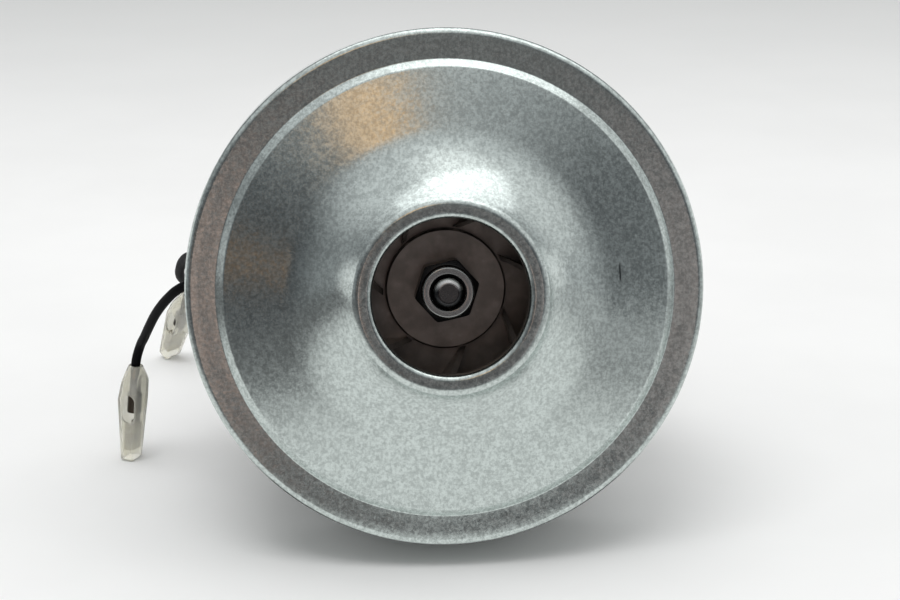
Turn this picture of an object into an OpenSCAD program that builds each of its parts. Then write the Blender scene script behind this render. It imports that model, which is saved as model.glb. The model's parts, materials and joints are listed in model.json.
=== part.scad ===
// Through-flow blower unit: a drawn steel fan case with one impeller on a brushed motor.
// It lies on its side, on the rear edge of the fan case and the rear edge of the motor can,
// so that the inlet eye faces the front and tips up a little.
// Each piece is drawn about the motor axis, with the flange face of the fan case at z = 0 and
// the inlet at +z, and place() then lays the unit down.

/* [Fan case] */
// Outside radius of the fan case
case_r = 59; // [55:0.5:66]
// Thickness of the case's steel sheet
sheet_t = 0.8; // [0.6:0.1:1]
// Length of the skirt behind the flange face
skirt_l = 28; // [26:0.5:34]
// Outside rounding of the rim
rim_round = 2; // [1.5:0.25:3]
// Width of the flat flange inside the rounded rim
flange_w = 4.4; // [3.5:0.1:5.5]
// Height of the step inside the flange
step_h = 3; // [2.5:0.25:4]
// Inside radius of the sharp bends in the sheet
bend_r = 0.4; // [0.2:0.1:0.6]
// Slope of the cone, in degrees
cone_slope = 14; // [9:1:18]
// Slope where the flare meets the crest, in degrees
flare_slope = 55; // [45:1:65]
// Height of the crest over the flange face
crest_h = 18; // [16:0.5:22]
// Width of the flat crest ring
crest_w = 1.6; // [1:0.1:3]
// Radius of the inlet eye
eye_r = 17.75; // [16:0.25:19.5]
// Depth of the rolled lip, from the crest
lip_l = 4; // [3:0.25:5]

/* [Impeller] */
// Distance from the case's outside in to the impeller's edge
imp_inset = 10; // [9:0.5:13]
// Thickness of the impeller's sheet
imp_t = 0.8; // [0.6:0.1:1]
// Running gap between the impeller's front plate and the case
imp_gap = 1.5; // [1:0.1:2]
// Radial gap between the eye lip and the impeller's eye
eye_gap = 0.9; // [0.6:0.1:1.3]
// Distance of the back plate behind the flange face
imp_back = 4; // [3.5:0.25:6]
// Number of blades
blade_count = 7; // [5:1:9]
// Thickness of a blade
blade_t = 1; // [0.6:0.1:1.4]
// Radius where the blades start
blade_root_r = 14.2; // [14:0.1:16]
// Angle that a blade sweeps back from root to tip
blade_sweep = 62; // [45:1:75]
// Radius of a blade's curve
blade_bow = 46; // [38:1:70]
// Radius of the hub washers
washer_r = 13.7; // [11:0.1:13.9]
// Thickness of the hub washers
washer_t = 2.5; // [1.5:0.1:3]
// Width of the nut across its flats
nut_af = 13; // [12:0.5:15]
// Height of the nut
nut_h = 8.5; // [7:0.25:9]
// Height of the nut's hexagon
nut_hex_h = 5.8; // [5:0.1:6.4]
// Length of the shaft beyond the nut
shaft_out = 1.8; // [1:0.1:3]

/* [Diffuser and bracket] */
// Running gap between the impeller and the diffuser
diff_gap = 1.7; // [1.2:0.1:2.5]
// Thickness of the diffuser's plate
diff_t = 2; // [1.5:0.1:2.5]
// Number of diffuser vanes
diff_count = 15; // [9:1:19]
// Number of return vanes
return_count = 9; // [7:1:11]
// Height of the return vanes
return_h = 9; // [8.5:0.25:11]
// Thickness of the moulded vanes
vane_t = 1.6; // [1.2:0.1:2]
// Thickness of the bracket's plate
bracket_t = 2; // [1.6:0.1:3]
// Length of the bracket's rim
bracket_rim_l = 9; // [7:0.25:9.5]
// Wall of the bracket's bearing hub
hub_wall = 3; // [2.4:0.1:3.2]
// Number of air windows in the bracket
window_count = 10; // [8:1:12]

/* [Motor] */
// Distance from the case's outside in to the can's wall
can_inset = 14; // [13:0.5:16]
// Thickness of the can's sheet
can_t = 1.2; // [1:0.1:1.6]
// Room between the commutator and the can's rear face
rear_room = 3.5; // [3:0.25:9]
// Outside rounding of the can's rear edge
can_round = 3; // [2.5:0.25:3.5]
// Length of the rear bearing cup
cup_l = 10; // [9.6:0.1:12]
// Distance from the bracket to the field core
core_offset = 16; // [14:0.5:17]
// Length of the field and armature cores
core_l = 32; // [28:0.5:32.5]
// Air gap between the armature and the field core
air_gap = 0.5; // [0.4:0.05:0.8]
// Number of armature slots
slot_count = 12; // [10:1:14]
// Height of the end turns of the coils and of the armature winding
turn_l = 9; // [7:0.25:9.25]
// Radius of the commutator
comm_r = 13; // [12:0.25:13.5]
// Length of the commutator
comm_l = 13.5; // [13:0.25:14]
// Radius of the shaft under the cores
shaft_r = 5.5; // [5.2:0.1:6]
// Outside radius of a ball bearing
bearing_r = 11; // [10.6:0.2:12]
// Bore radius of a ball bearing, and radius of the shaft's ends
bearing_bore_r = 4; // [3.8:0.1:4.2]
// Width of a ball bearing
bearing_w = 7; // [6.6:0.1:7.4]
// Number of balls in a bearing
ball_count = 7; // [6:1:8]

/* [Brushes] */
// Width of a brush across the commutator
brush_w = 6.4; // [5.6:0.2:7]
// Length of a brush along the commutator
brush_a = 9; // [8:0.2:9.2]
// Length of a brush along its slide
brush_l = 22; // [18:0.5:24]
// Wall of the brass brush guide
guide_t = 0.7; // [0.5:0.1:0.9]
// Travel of a brush against its spring
brush_travel = 4; // [2:0.5:5]

/* [Leads] */
// Diameter of a lead
lead_d = 2.4; // [2:0.1:2.8]
// Length of a terminal sleeve
sleeve_l = 25; // [23:0.5:27]
// Width of a terminal sleeve at its shoulder
sleeve_w = 6.8; // [6.4:0.1:8]
// Thickness of a terminal sleeve at its shoulder, in front of the lead's centre
sleeve_belly = 3.3; // [2.8:0.1:3.6]
// Wall of a terminal sleeve
sleeve_t = 0.6; // [0.5:0.05:0.7]

/* [Hidden] */

// Facets of a full round
round_fn = 96;
// Radial allowance of a pressed seat
seat = 0.02;
// Running clearance of shafts, brushes and balls
run_gap = 0.08;
// How far a cutting tool reaches past the face that it cuts
past = 1;

// Fan case profile, as radius and height
sheet_round = sheet_t + bend_r;
case_in_r = case_r - sheet_t;
imp_r = case_r - imp_inset;
can_r = case_r - can_inset;
can_flange_w = can_inset - 5;
bore_r = can_r / 2;
flange_in = case_r - rim_round - flange_w;
step_r = flange_in - bend_r;
step_c = [step_r - sheet_round, step_h - sheet_round];
cone_top = step_c + sheet_round * [sin(cone_slope), cos(cone_slope)];
crest_r = eye_r + sheet_round + crest_w;
crest_c = [crest_r, crest_h - sheet_round];
flare_end = crest_c + sheet_round * [sin(flare_slope), cos(flare_slope)];
flare_dr = cone_top[0] - flare_end[0];
flare_dz = flare_end[1] - cone_top[1];
flare_sin = sin(flare_slope) - sin(cone_slope);
flare_cos = cos(cone_slope) - cos(flare_slope);
flare_r = (flare_dz - flare_dr * tan(cone_slope)) / (flare_cos - tan(cone_slope) * flare_sin);
cone_dr = flare_dr - flare_r * flare_sin;
flare_start = cone_top + cone_dr * [-1, tan(cone_slope)];
flare_c = flare_start + flare_r * [sin(cone_slope), cos(cone_slope)];

// Impeller, seen along its profile
imp_depth = sheet_t + imp_gap;
imp_eye_r = eye_r + sheet_t + eye_gap;
plate_depth = imp_depth + imp_t;
eye_slope = asin((flare_c[0] - imp_eye_r) / (flare_r + plate_depth));
blade_play = 0.05;
blade_depth = plate_depth + blade_play;
blade_inset = 0.6;
blade_tip_r = imp_r - blade_inset;
blade_top_r = imp_eye_r + blade_inset;
blade_slope = asin((flare_c[0] - blade_top_r) / (flare_r + blade_depth));
blade_root_h = 2;
// Turn of the blade pattern at rest
blade_phase = 84;
// Turn of the nut at rest
nut_phase = 12;
collar_round = 0.6;
insert_r = bearing_bore_r + 0.9;

// Heights along the axis, from the inlet to the rear
hub_z = washer_t - imp_back;
nut_z = hub_z + nut_h;
shaft_front = nut_z + shaft_out;
plate_rear = -imp_back - imp_t;
spacer_front = plate_rear - washer_t;
diff_front = plate_rear - diff_gap;
diff_rear = diff_front - diff_t;
bracket_front = diff_rear - return_h;
bracket_rear = bracket_front - bracket_t;
seat_depth = 0.8;
front_bearing_z = bracket_rear + seat_depth;
hub_lip_t = 1.2;
hub_front = front_bearing_z + bearing_w + hub_lip_t;
comm_gap = 1.5;
can_l = core_offset + core_l + turn_l + comm_gap + comm_l + rear_room;
can_rear = bracket_rear - can_l;
cup_rear = can_rear - cup_l;
preload_t = 1;
rear_bearing_z = cup_rear + can_t + preload_t;
shaft_rear = rear_bearing_z - preload_t / 2;
core_front = bracket_rear - core_offset;
core_rear = core_front - core_l;
comm_front = core_rear - turn_l - comm_gap;
riser_l = 1.2;
riser_h = 1.5;
brush_offset = 0.3;
brush_z = comm_front - riser_l - brush_offset - brush_a / 2;

// Radii of the motor
spacer_r = 6.3;
hub_r = bearing_r + seat + hub_wall;
hub_lip_r = bearing_r - 1.5;
can_in_r = can_r - can_t;
can_bend = 1.5;
cup_r = bearing_r + seat + can_t;
cup_round = 1.5;
cup_hole_r = 3;
armature_r = bore_r - air_gap;
yoke_t = 0.1956 * can_r;
yoke_r = can_in_r - yoke_t;
pole_t = can_r / 15;
pole_r = bore_r + pole_t;
core_flat = 0.8 * can_r;
gap_angle = 28;
neck_angle = 62;
liner_t = 0.4;
coil_play = 0.05;
comm_bar_t = 4;
comm_slit = 0.6;
bar_count = 2 * slot_count;

// Screws
screw_r = 2;
screw_head_r = 3.6;
screw_head_h = 2.4;
bracket_screw_r = can_r + 5;
bracket_screw_count = 4;
diff_screw_r = 1.5;
diff_screw_head_r = 2.9;
diff_screw_pos = can_r - 1;
diff_screw_count = 3;
diff_screw_phase = 20;
holder_screw_r = 1.4;
holder_screw_head_r = 2.6;
holder_screw_y = 11.6;
holder_screw_l = 5;

// Brush gear, along its slide
guide_in = 17;
guide_w = brush_w + 2 * run_gap;
guide_a = brush_a + 2 * run_gap;
holder_in = can_r - 9;
holder_w = 14;
holder_a = 14.6;
ear_w = 31;
ear_t = 3.4;
holder_out = can_r + 7;
guide_out = holder_out - 1.5;
cap_t = 1.5;
cap_plug = 1.5;
brush_face = comm_r + run_gap;
brush_back = brush_face + brush_l;
spring_end = guide_out - cap_plug;
spring_wire = 0.6;
spring_r = min(brush_w, brush_a) / 2 - spring_wire;
spring_turns = 7;
spring_steps = 10;

// How the unit lies: its axis tips up until both rear edges meet the floor
rest_r = case_r - (can_r - can_round);
rest_l = -skirt_l - (can_rear + can_round);
tilt = atan2(rest_r, rest_l) - asin(can_round / norm([rest_r, rest_l]));
axis_h = skirt_l * sin(tilt) + case_r * cos(tilt);
front_y = crest_h * cos(tilt) + crest_r * sin(tilt);
rear_y = -cup_rear * cos(tilt) + (cup_r - cup_round) * sin(tilt);
axis_y = (front_y - rear_y) / 2;

// Terminal sleeves: size, then foot, lean and turn of each
sleeve_mouth_w = sleeve_w - 1.2;
sleeve_mouth_h = 3.6;
sleeve_round = 1;
sleeve_shoulder = 0.64 * sleeve_l;
sleeve_taper = 0.5;
sleeve_1_foot = [-77.2, 18.3, 0.3];
sleeve_1_lean = [0, 5, 0];
sleeve_1_turn = 65;
sleeve_2_foot = [-70.7, 93.9, 1.5];
sleeve_2_lean = [28, 17, 0];
sleeve_2_turn = 45;
receptacle_in = 2.5;
receptacle_l = 7;
crimp_gap = 3;
crimp_l = 5;
brass_t = 0.4;
crimp_z = receptacle_in + receptacle_l + crimp_gap;
crimp_end = past + 0.2;

// Lead outlets in the can's left wall, and their grommet
lead_sides = 8;
lead_play = 0.05;
grommet_r = 3.6;
lead_pitch = 3.8;
lead_2_z = core_front + grommet_r + 0.5;
lead_1_z = lead_2_z + lead_pitch;
grommet_out = 5;
grommet_lip = 1.2;
grommet_groove = 0.1;
outlet_x = [4 - can_r, -can_r - 1, -can_r - grommet_out - 0.6];
sleeve_neck_r = lead_d / 2 + lead_play + sleeve_t;
sleeve_back = max(sleeve_neck_r + 0.3, lead_d / 2 + brass_t + 2 * lead_play + sleeve_t + 0.2);

// Middle points of each lead's route, where the unit lies
lead_1_middle = [
    [-54.9, -13.7, 57.5], [-58.8, -10.9, 56.3], [-62.2, -8.3, 54], [-64.8, -4.9, 50.8], [-67, -1, 47.2],
    [-68.9, 3.1, 43.3], [-70.8, 7.6, 38.8], [-72.4, 11.9, 34.5], [-73.9, 16, 30.6]
];
lead_2_middle = [
    [-54.5, -9, 57.3], [-57.6, -4, 58.5], [-60, 3, 58.5], [-61.9, 9, 55.9], [-63, 15, 52.2],
    [-63.1, 21.5, 48.1], [-62.6, 28, 44.7], [-62.2, 35, 41.9], [-62.2, 43, 39.2], [-62.3, 51, 36.6],
    [-62.6, 59, 34.1], [-62.9, 66.5, 31.6], [-63.2, 73, 29.3], [-63.5, 78.8, 26.6]
];

function unit(v) = v / norm(v);
function left_of(d) = [-d[1], d[0]];
function side_of(path, i) = left_of(unit(path[i + 1] - path[i]));
function reversed(path) = [for (i = [len(path) - 1 : -1 : 0]) path[i]];
function tail(path) = [for (i = [1 : len(path) - 1]) path[i]];
function polar(r, a) = r * [cos(a), sin(a)];

// Points of an arc
function arc(c, r, a0, a1, n = 8) = [for (i = [0 : n]) c + polar(r, a0 + (a1 - a0) * i / n)];

// A path moved sideways by t, to the left of its direction
function shifted(path, t) = [
    for (i = [0 : len(path) - 1])
        let (
            a = side_of(path, max(i - 1, 0)),
            b = side_of(path, min(i, len(path) - 2))
        )
        path[i] + t * (a + b) / (1 + a * b)
];

// Height of the cone's sheet at radius r, at a depth below its outer face
function cone_z(r, depth) =
    cone_top[1] + (cone_top[0] - r) * tan(cone_slope) - depth / cos(cone_slope);

// Points of the flare at a depth below its outer face, up to a slope
function flare_points(depth, slope, n = 14) =
    arc(flare_c, flare_r + depth, 270 - cone_slope, 270 - slope, n);

// Where a point of the unit lies, and a point on a sleeve's centre line
function placed(p) = [
    p[0],
    axis_y + p[1] * sin(tilt) - p[2] * cos(tilt),
    axis_h + p[1] * cos(tilt) + p[2] * sin(tilt)
];
function in_sleeve(foot, lean, s) =
    foot + s * [cos(lean[0]) * sin(lean[1]), -sin(lean[0]), cos(lean[0]) * cos(lean[1])];

// A lead's route from inside the can, through its outlet, to its crimp
function lead_route(outlet_z, middle, foot, lean) = concat(
    [for (x = outlet_x) placed([x, 0, outlet_z])],
    middle,
    [for (s = [sleeve_l + 0.8, sleeve_l - 4, crimp_z + crimp_end]) in_sleeve(foot, lean, s)]
);

// Rings of points around a route
function tangent(route, i) =
    unit(route[min(i + 1, len(route) - 1)] - route[max(i - 1, 0)]);
function ring(p, t, ref, r, sides) =
    let (u = unit(cross(t, ref)), v = cross(t, u))
    [for (k = [0 : sides - 1]) p + r * (cos(360 * k / sides) * u + sin(360 * k / sides) * v)];

module tube(route, r, sides, ref = [1, 1, 1]) {
    last = len(route) - 1;
    points = [for (i = [0 : last]) each ring(route[i], tangent(route, i), ref, r, sides)];
    walls = [
        for (i = [0 : last - 1], k = [0 : sides - 1])
            let (a = i * sides + k, b = i * sides + (k + 1) % sides)
            each [[a, a + sides, b + sides], [a, b + sides, b]]
    ];
    start_cap = [for (k = [0 : sides - 1]) k];
    end_cap = [for (k = [sides - 1 : -1 : 0]) last * sides + k];
    polyhedron(points, concat(walls, [start_cap], [end_cap]));
}

module revolve(points) rotate_extrude($fn = round_fn) polygon(points);

module drawn_sheet(path, t) revolve(concat(path, reversed(shifted(path, t))));

module disc(r, z0, z1) translate([0, 0, z0]) cylinder(h = z1 - z0, r = r, $fn = round_fn);

module washer(r, bore, z0, z1) {
    difference() {
        disc(r, z0, z1);
        disc(bore, z0 - past, z1 + past);
    }
}

module around(n, r = 0, phase = 0) {
    for (i = [0 : n - 1]) rotate(phase + 360 * i / n) translate([r, 0, 0]) children();
}

// Part of a ring between two angles
module sector(r0, r1, a0, a1, z0, z1) {
    rotate(a0)
        rotate_extrude(angle = a1 - a0, $fn = round_fn)
            translate([r0, z0]) square([r1 - r0, z1 - z0]);
}

// Plan of a curved wall from radius r0 to r1, swept back by an angle
module curved_wall(r0, r1, sweep, bow, t) {
    a = polar(r0, 0);
    b = polar(r1, -sweep);
    half = norm(b - a) / 2;
    c = (a + b) / 2 - sqrt(bow * bow - half * half) * left_of(unit(b - a));
    reach = 2;
    intersection() {
        translate(c) difference() {
            circle(bow + t / 2, $fn = round_fn);
            circle(bow - t / 2, $fn = round_fn);
        }
        polygon([c, c + reach * (a - c), c + reach * ((a + b) / 2 - c), c + reach * (b - c)]);
    }
}

module rounded_plan(w, h, r) {
    square([w - 2 * r, h], center = true);
    square([w, h - 2 * r], center = true);
    for (x = [-1, 1], y = [-1, 1])
        translate([x * (w / 2 - r), y * (h / 2 - r)]) circle(r, $fn = round_fn);
}

// Lays the unit down where it rests
module place() translate([0, axis_y, axis_h]) rotate([90 - tilt, 0, 0]) children();

module fan_case() {
    path = concat(
        [[case_r, -skirt_l]],
        arc([case_r - rim_round, -rim_round], rim_round, 0, 90),
        arc([flange_in, bend_r], bend_r, 270, 180, 5),
        arc(step_c, sheet_round, 0, 90 - cone_slope, 6),
        flare_points(0, flare_slope),
        tail(arc(crest_c, sheet_round, 90 - flare_slope, 90, 5)),
        arc([eye_r + sheet_round, crest_h - sheet_round], sheet_round, 90, 180, 6),
        [[eye_r, crest_h - lip_l]]
    );
    color("Silver") place() drawn_sheet(path, sheet_t);
}

module impeller_front_plate() {
    path = concat([[imp_r, cone_z(imp_r, imp_depth)]], flare_points(imp_depth, eye_slope));
    color("DimGray") place() drawn_sheet(path, imp_t);
}

module impeller_back_plate() {
    color("DimGray") place() washer(imp_r, bearing_bore_r + seat, plate_rear, -imp_back);
}

module impeller_blades() {
    profile = concat(
        [[blade_root_r, -imp_back], [blade_tip_r, -imp_back]],
        [[blade_tip_r, cone_z(blade_tip_r, blade_depth)]],
        flare_points(blade_depth, blade_slope),
        [[blade_root_r, blade_root_h - imp_back]]
    );
    color("DarkSlateGray") place() around(blade_count, 0, blade_phase) intersection() {
        revolve(profile);
        translate([0, 0, -imp_back - past]) linear_extrude(crest_h + imp_back)
            curved_wall(blade_root_r - past, imp_r, blade_sweep, blade_bow, blade_t);
    }
}

module hub_washer() {
    chamfer = 0.4;
    color("DimGray") place() revolve([
        [bearing_bore_r + seat, -imp_back], [washer_r, -imp_back], [washer_r, hub_z - chamfer],
        [washer_r - chamfer, hub_z], [bearing_bore_r + seat, hub_z]
    ]);
}

module rear_hub_washer() {
    color("DimGray") place() washer(washer_r, bearing_bore_r + seat, spacer_front, plate_rear);
}

module hub_spacer() {
    color("Silver") place()
        washer(spacer_r, bearing_bore_r + seat, front_bearing_z + bearing_w, spacer_front);
}

module impeller_nut() {
    corner_r = nut_af / 2 / cos(30);
    collar_r = nut_af / 2 - 0.6;
    chamfer_h = 0.7;
    color("DarkGray") place() translate([0, 0, hub_z]) rotate(nut_phase) difference() {
        union() {
            intersection() {
                cylinder(h = nut_hex_h, r = corner_r, $fn = 6);
                revolve([
                    [0, 0], [nut_af / 2, 0], [corner_r, chamfer_h / 2], [corner_r, nut_hex_h - chamfer_h],
                    [collar_r, nut_hex_h], [0, nut_hex_h]
                ]);
            }
            revolve(concat(
                [[0, nut_hex_h - past], [collar_r, nut_hex_h - past]],
                arc([collar_r - collar_round, nut_h - collar_round], collar_round, 0, 90, 5),
                [[0, nut_h]]
            ));
        }
        disc(bearing_bore_r + seat, -past, nut_h + past);
        disc(insert_r, nut_hex_h, nut_h - collar_round);
    }
}

module nut_insert() {
    color("Black") place() translate([0, 0, hub_z])
        washer(insert_r - seat, bearing_bore_r + seat, nut_hex_h, nut_h - collar_round);
}

module diffuser() {
    bore = washer_r + 1.2;
    plate_r = imp_r + 4.5;
    vane_in = imp_r + 1.6;
    vane_top = -sheet_t - 0.5;
    boss_r = 4;
    sunk = 0.4;
    head_h = diff_screw_head_r - diff_screw_r;
    color("DarkSlateGray") place() difference() {
        union() {
            washer(plate_r, bore, diff_rear, diff_front);
            translate([0, 0, diff_rear + sunk]) linear_extrude(vane_top - diff_rear - sunk)
                around(diff_count)
                    curved_wall(vane_in, case_in_r - 1.2, 12, 30, vane_t);
            translate([0, 0, bracket_front]) linear_extrude(return_h + 2 * sunk)
                around(return_count)
                    curved_wall(hub_r + 4, plate_r - past, 48, 40, vane_t);
            around(diff_screw_count, diff_screw_pos, diff_screw_phase)
                disc(boss_r, bracket_front, diff_rear + 3 * sunk);
        }
        around(diff_screw_count, diff_screw_pos, diff_screw_phase) {
            disc(diff_screw_r + seat, bracket_front - past, diff_front + past);
            translate([0, 0, diff_front - head_h])
                cylinder(
                    h = head_h + past, r1 = diff_screw_r + seat,
                    r2 = diff_screw_head_r + seat + past, $fn = round_fn
                );
        }
    }
}

module diffuser_screws() {
    head_h = diff_screw_head_r - diff_screw_r;
    color("Silver") place() around(diff_screw_count, diff_screw_pos, diff_screw_phase) revolve([
        [0, bracket_rear], [diff_screw_r, bracket_rear], [diff_screw_r, diff_front - head_h],
        [diff_screw_head_r, diff_front], [0, diff_front]
    ]);
}

module front_bracket() {
    window_in = hub_r + 9;
    window_out = can_in_r - 5;
    window_angle = 0.66 * 360 / window_count;
    rim_t = 2;
    rim_out = case_in_r - seat;
    color("LightGray") place() difference() {
        union() {
            disc(rim_out, bracket_rear, bracket_front);
            washer(rim_out, rim_out - rim_t, bracket_front - bracket_rim_l, bracket_front);
            disc(hub_r, bracket_rear, hub_front);
        }
        disc(bearing_r + seat, bracket_rear - past, front_bearing_z + bearing_w);
        disc(hub_lip_r, bracket_rear - past, hub_front + past);
        around(window_count)
            sector(
                window_in, window_out, -window_angle / 2, window_angle / 2,
                bracket_rear - past, bracket_front + past
            );
        around(bracket_screw_count, bracket_screw_r, 45)
            disc(screw_r + seat, bracket_rear - past, bracket_front + past);
        around(diff_screw_count, diff_screw_pos, diff_screw_phase)
            disc(diff_screw_r + seat, bracket_rear - past, bracket_front + past);
    }
}

module bracket_screws() {
    flange_rear = bracket_rear - can_t;
    dome = 0.8;
    color("Silver") place() around(bracket_screw_count, bracket_screw_r, 45) revolve([
        [0, bracket_front], [screw_r, bracket_front], [screw_r, flange_rear],
        [screw_head_r, flange_rear], [screw_head_r, flange_rear - screw_head_h + dome],
        [screw_head_r - dome, flange_rear - screw_head_h], [0, flange_rear - screw_head_h]
    ]);
}

// Slot with round ends, cut along z through a wall at radius r
module vent(r, w, z0, z1) {
    rotate([0, 90, 0]) {
        translate([-(z0 + z1) / 2, 0, r]) cube([z1 - z0 - w, w, 2 * can_t + past], center = true);
        for (z = [z0 + w / 2, z1 - w / 2])
            translate([-z, 0, r]) cylinder(h = 2 * can_t + past, d = w, center = true, $fn = round_fn);
    }
}

module motor_can() {
    vent_w = 9;
    vent_front = core_rear - 3;
    vent_rear = can_rear + can_round + 3;
    vent_angles = [for (side = [0, 180], a = [40, 65, 90, 115, 140]) side + a];
    end_vent_w = 7;
    end_vent_in = cup_r + 6;
    end_vent_out = can_r - can_round - 4;
    end_vent_count = 8;
    flange_rear = bracket_rear - can_t;
    path = concat(
        [[can_r + can_flange_w, flange_rear]],
        arc([can_r + can_bend, flange_rear - can_bend], can_bend, 90, 180, 5),
        arc([can_r - can_round, can_rear + can_round], can_round, 0, -90),
        arc([cup_r + can_bend, can_rear - can_bend], can_bend, 90, 180, 5),
        arc([cup_r - cup_round, cup_rear + cup_round], cup_round, 0, -90, 5),
        [[cup_hole_r, cup_rear]]
    );
    color("Silver") place() difference() {
        drawn_sheet(path, -can_t);
        for (a = vent_angles) rotate(a) vent(can_r, vent_w, vent_rear, vent_front);
        around(end_vent_count, (end_vent_in + end_vent_out) / 2, 180 / end_vent_count)
            translate([0, 0, can_rear])
                linear_extrude(4 * can_t, center = true)
                    rounded_plan(end_vent_out - end_vent_in, end_vent_w, end_vent_w / 2 - seat);
        around(bracket_screw_count, bracket_screw_r, 45)
            disc(screw_r + run_gap, flange_rear - past, bracket_rear + past);
        for (side = [0, 180]) rotate(side) {
            translate([can_r, 0, brush_z])
                cube([4 * can_t, holder_w + 2 * run_gap, holder_a + 2 * run_gap], center = true);
            for (y = [-1, 1])
                translate([can_r - 4 * can_t, y * holder_screw_y, brush_z]) rotate([0, 90, 0])
                    cylinder(h = 6 * can_t, r = holder_screw_r + run_gap, $fn = round_fn);
        }
        grommet_plan(grommet_r - grommet_lip, -can_r - 2 * can_t, -can_in_r + 2 * can_t);
    }
}

// Part of the field core's window, at one end of each pole
module coil_window(inset, z0, z1, a0 = gap_angle, a1 = neck_angle) {
    sector(pole_r + inset, yoke_r - inset, a0, a1, z0, z1);
}

module field_core() {
    color("SlateGray") place() translate([0, 0, core_rear]) linear_extrude(core_l) difference() {
        intersection() {
            circle(can_in_r - seat, $fn = round_fn);
            square([2 * can_r, 2 * core_flat], center = true);
        }
        circle(bore_r, $fn = round_fn);
        for (side = [0, 180]) rotate(side) {
            intersection() {
                difference() {
                    circle(yoke_r, $fn = round_fn);
                    circle(pole_r, $fn = round_fn);
                }
                polygon([
                    [0, 0], polar(2 * can_r, -neck_angle), [2 * can_r, 0], polar(2 * can_r, neck_angle)
                ]);
            }
            intersection() {
                circle(pole_r + seat, $fn = round_fn);
                polygon([[0, 0], polar(2 * can_r, -gap_angle), polar(2 * can_r, gap_angle)]);
            }
        }
    }
}

module field_coil() {
    inset = liner_t + seat + coil_play;
    edge = 1.5;
    sunk = 0.5;
    swell = 0.3;
    start = gap_angle + 6;
    end = neck_angle - 2;
    fan = 0.6;
    for (a = [start, 180 - end])
        coil_window(inset, core_rear - edge - sunk, core_front + edge + sunk, a, a + end - start);
    for (z = [core_front + edge, core_rear - turn_l])
        coil_window(inset - swell, z, z + turn_l - edge, start - fan, 180 - start + fan);
}

module field_coil_upper() color("Peru") place() field_coil();

module field_coil_lower() color("Peru") place() rotate(180) field_coil();

module slot_liners() {
    wall_angle = 1;
    color("Khaki") place() for (side = [0, 180], flip = [0, 1]) rotate(side) mirror([flip, 0, 0])
        difference() {
            coil_window(seat, core_rear, core_front, gap_angle + 4, neck_angle - 0.2);
            coil_window(
                seat + liner_t, core_rear - past, core_front + past,
                gap_angle + 4 + wall_angle, neck_angle - 0.2 - wall_angle
            );
        }
}

module armature_shaft() {
    chamfer = 1;
    end_r = bearing_bore_r - 0.95;
    end_l = 4;
    color("Gainsboro") place() revolve([
        [0, shaft_rear], [bearing_bore_r - chamfer, shaft_rear], [bearing_bore_r, shaft_rear + chamfer],
        [bearing_bore_r, rear_bearing_z + bearing_w], [shaft_r, rear_bearing_z + bearing_w],
        [shaft_r, front_bearing_z], [bearing_bore_r, front_bearing_z],
        [bearing_bore_r, shaft_front - end_l], [end_r, shaft_front - end_l],
        [end_r, shaft_front - chamfer], [end_r - 0.7 * chamfer, shaft_front], [0, shaft_front]
    ]);
}

slot_hole_r = 0.118 * armature_r;
slot_pos = 0.78 * armature_r;
slot_mouth = 2;

module armature_core() {
    color("SlateGray") place() translate([0, 0, core_rear]) linear_extrude(core_l) difference() {
        circle(armature_r, $fn = round_fn);
        circle(shaft_r + seat, $fn = round_fn);
        around(slot_count, slot_pos) {
            circle(slot_hole_r, $fn = round_fn);
            translate([0, -slot_mouth / 2]) square([armature_r, slot_mouth]);
        }
    }
}

module armature_winding() {
    in_r = shaft_r + 2;
    out_r = slot_pos + slot_hole_r + 0.6;
    round_r = 2.5;
    end_turns = concat(
        [[in_r, 0], [out_r, 0]],
        arc([out_r - round_r, turn_l - round_r], round_r, 0, 90, 5),
        arc([in_r + round_r, turn_l - round_r], round_r, 90, 180, 5)
    );
    color("Chocolate") place() {
        translate([0, 0, core_front]) revolve(end_turns);
        translate([0, 0, core_rear]) mirror([0, 0, 1]) revolve(end_turns);
        around(slot_count, slot_pos) disc(slot_hole_r - seat, core_rear - past, core_front + past);
    }
}

module commutator_bars() {
    in_r = comm_r - comm_bar_t;
    color("Peru") place() difference() {
        revolve([
            [in_r, comm_front - comm_l], [comm_r, comm_front - comm_l], [comm_r, comm_front - riser_l],
            [comm_r + riser_h, comm_front - riser_l], [comm_r + riser_h, comm_front], [in_r, comm_front]
        ]);
        around(bar_count)
            translate([in_r - past, -comm_slit / 2, comm_front - comm_l - past])
                cube([comm_bar_t + riser_h + 2 * past, comm_slit, comm_l + 2 * past]);
    }
}

module commutator_hub() {
    color("Black") place()
        washer(comm_r - comm_bar_t - seat, shaft_r + seat, comm_front - comm_l, comm_front);
}

// Ball bearing, from its rear face
ball_pitch = (bearing_r + bearing_bore_r) / 2;
ball_r = 0.283 * (bearing_r - bearing_bore_r);
race_land = 1.5;

module race(r0, r1) {
    rotate_extrude($fn = round_fn) difference() {
        translate([r0, 0]) square([r1 - r0, bearing_w]);
        translate([ball_pitch, bearing_w / 2]) circle(ball_r + run_gap, $fn = round_fn);
    }
}

module bearing_outer() race(ball_pitch + race_land, bearing_r);

module bearing_inner() race(bearing_bore_r + seat, ball_pitch - race_land);

module bearing_balls() {
    around(ball_count, ball_pitch) translate([0, 0, bearing_w / 2]) sphere(ball_r, $fn = round_fn);
}

module bearing_cage() {
    cage_t = 0.8;
    cage_w = bearing_w - 1.7;
    difference() {
        translate([0, 0, (bearing_w - cage_w) / 2])
            washer(ball_pitch + cage_t / 2, ball_pitch - cage_t / 2, 0, cage_w);
        around(ball_count, ball_pitch) translate([0, 0, bearing_w / 2]) rotate([0, 90, 0])
            cylinder(h = 4 * cage_t, r = ball_r + run_gap, center = true, $fn = round_fn);
    }
}

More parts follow.
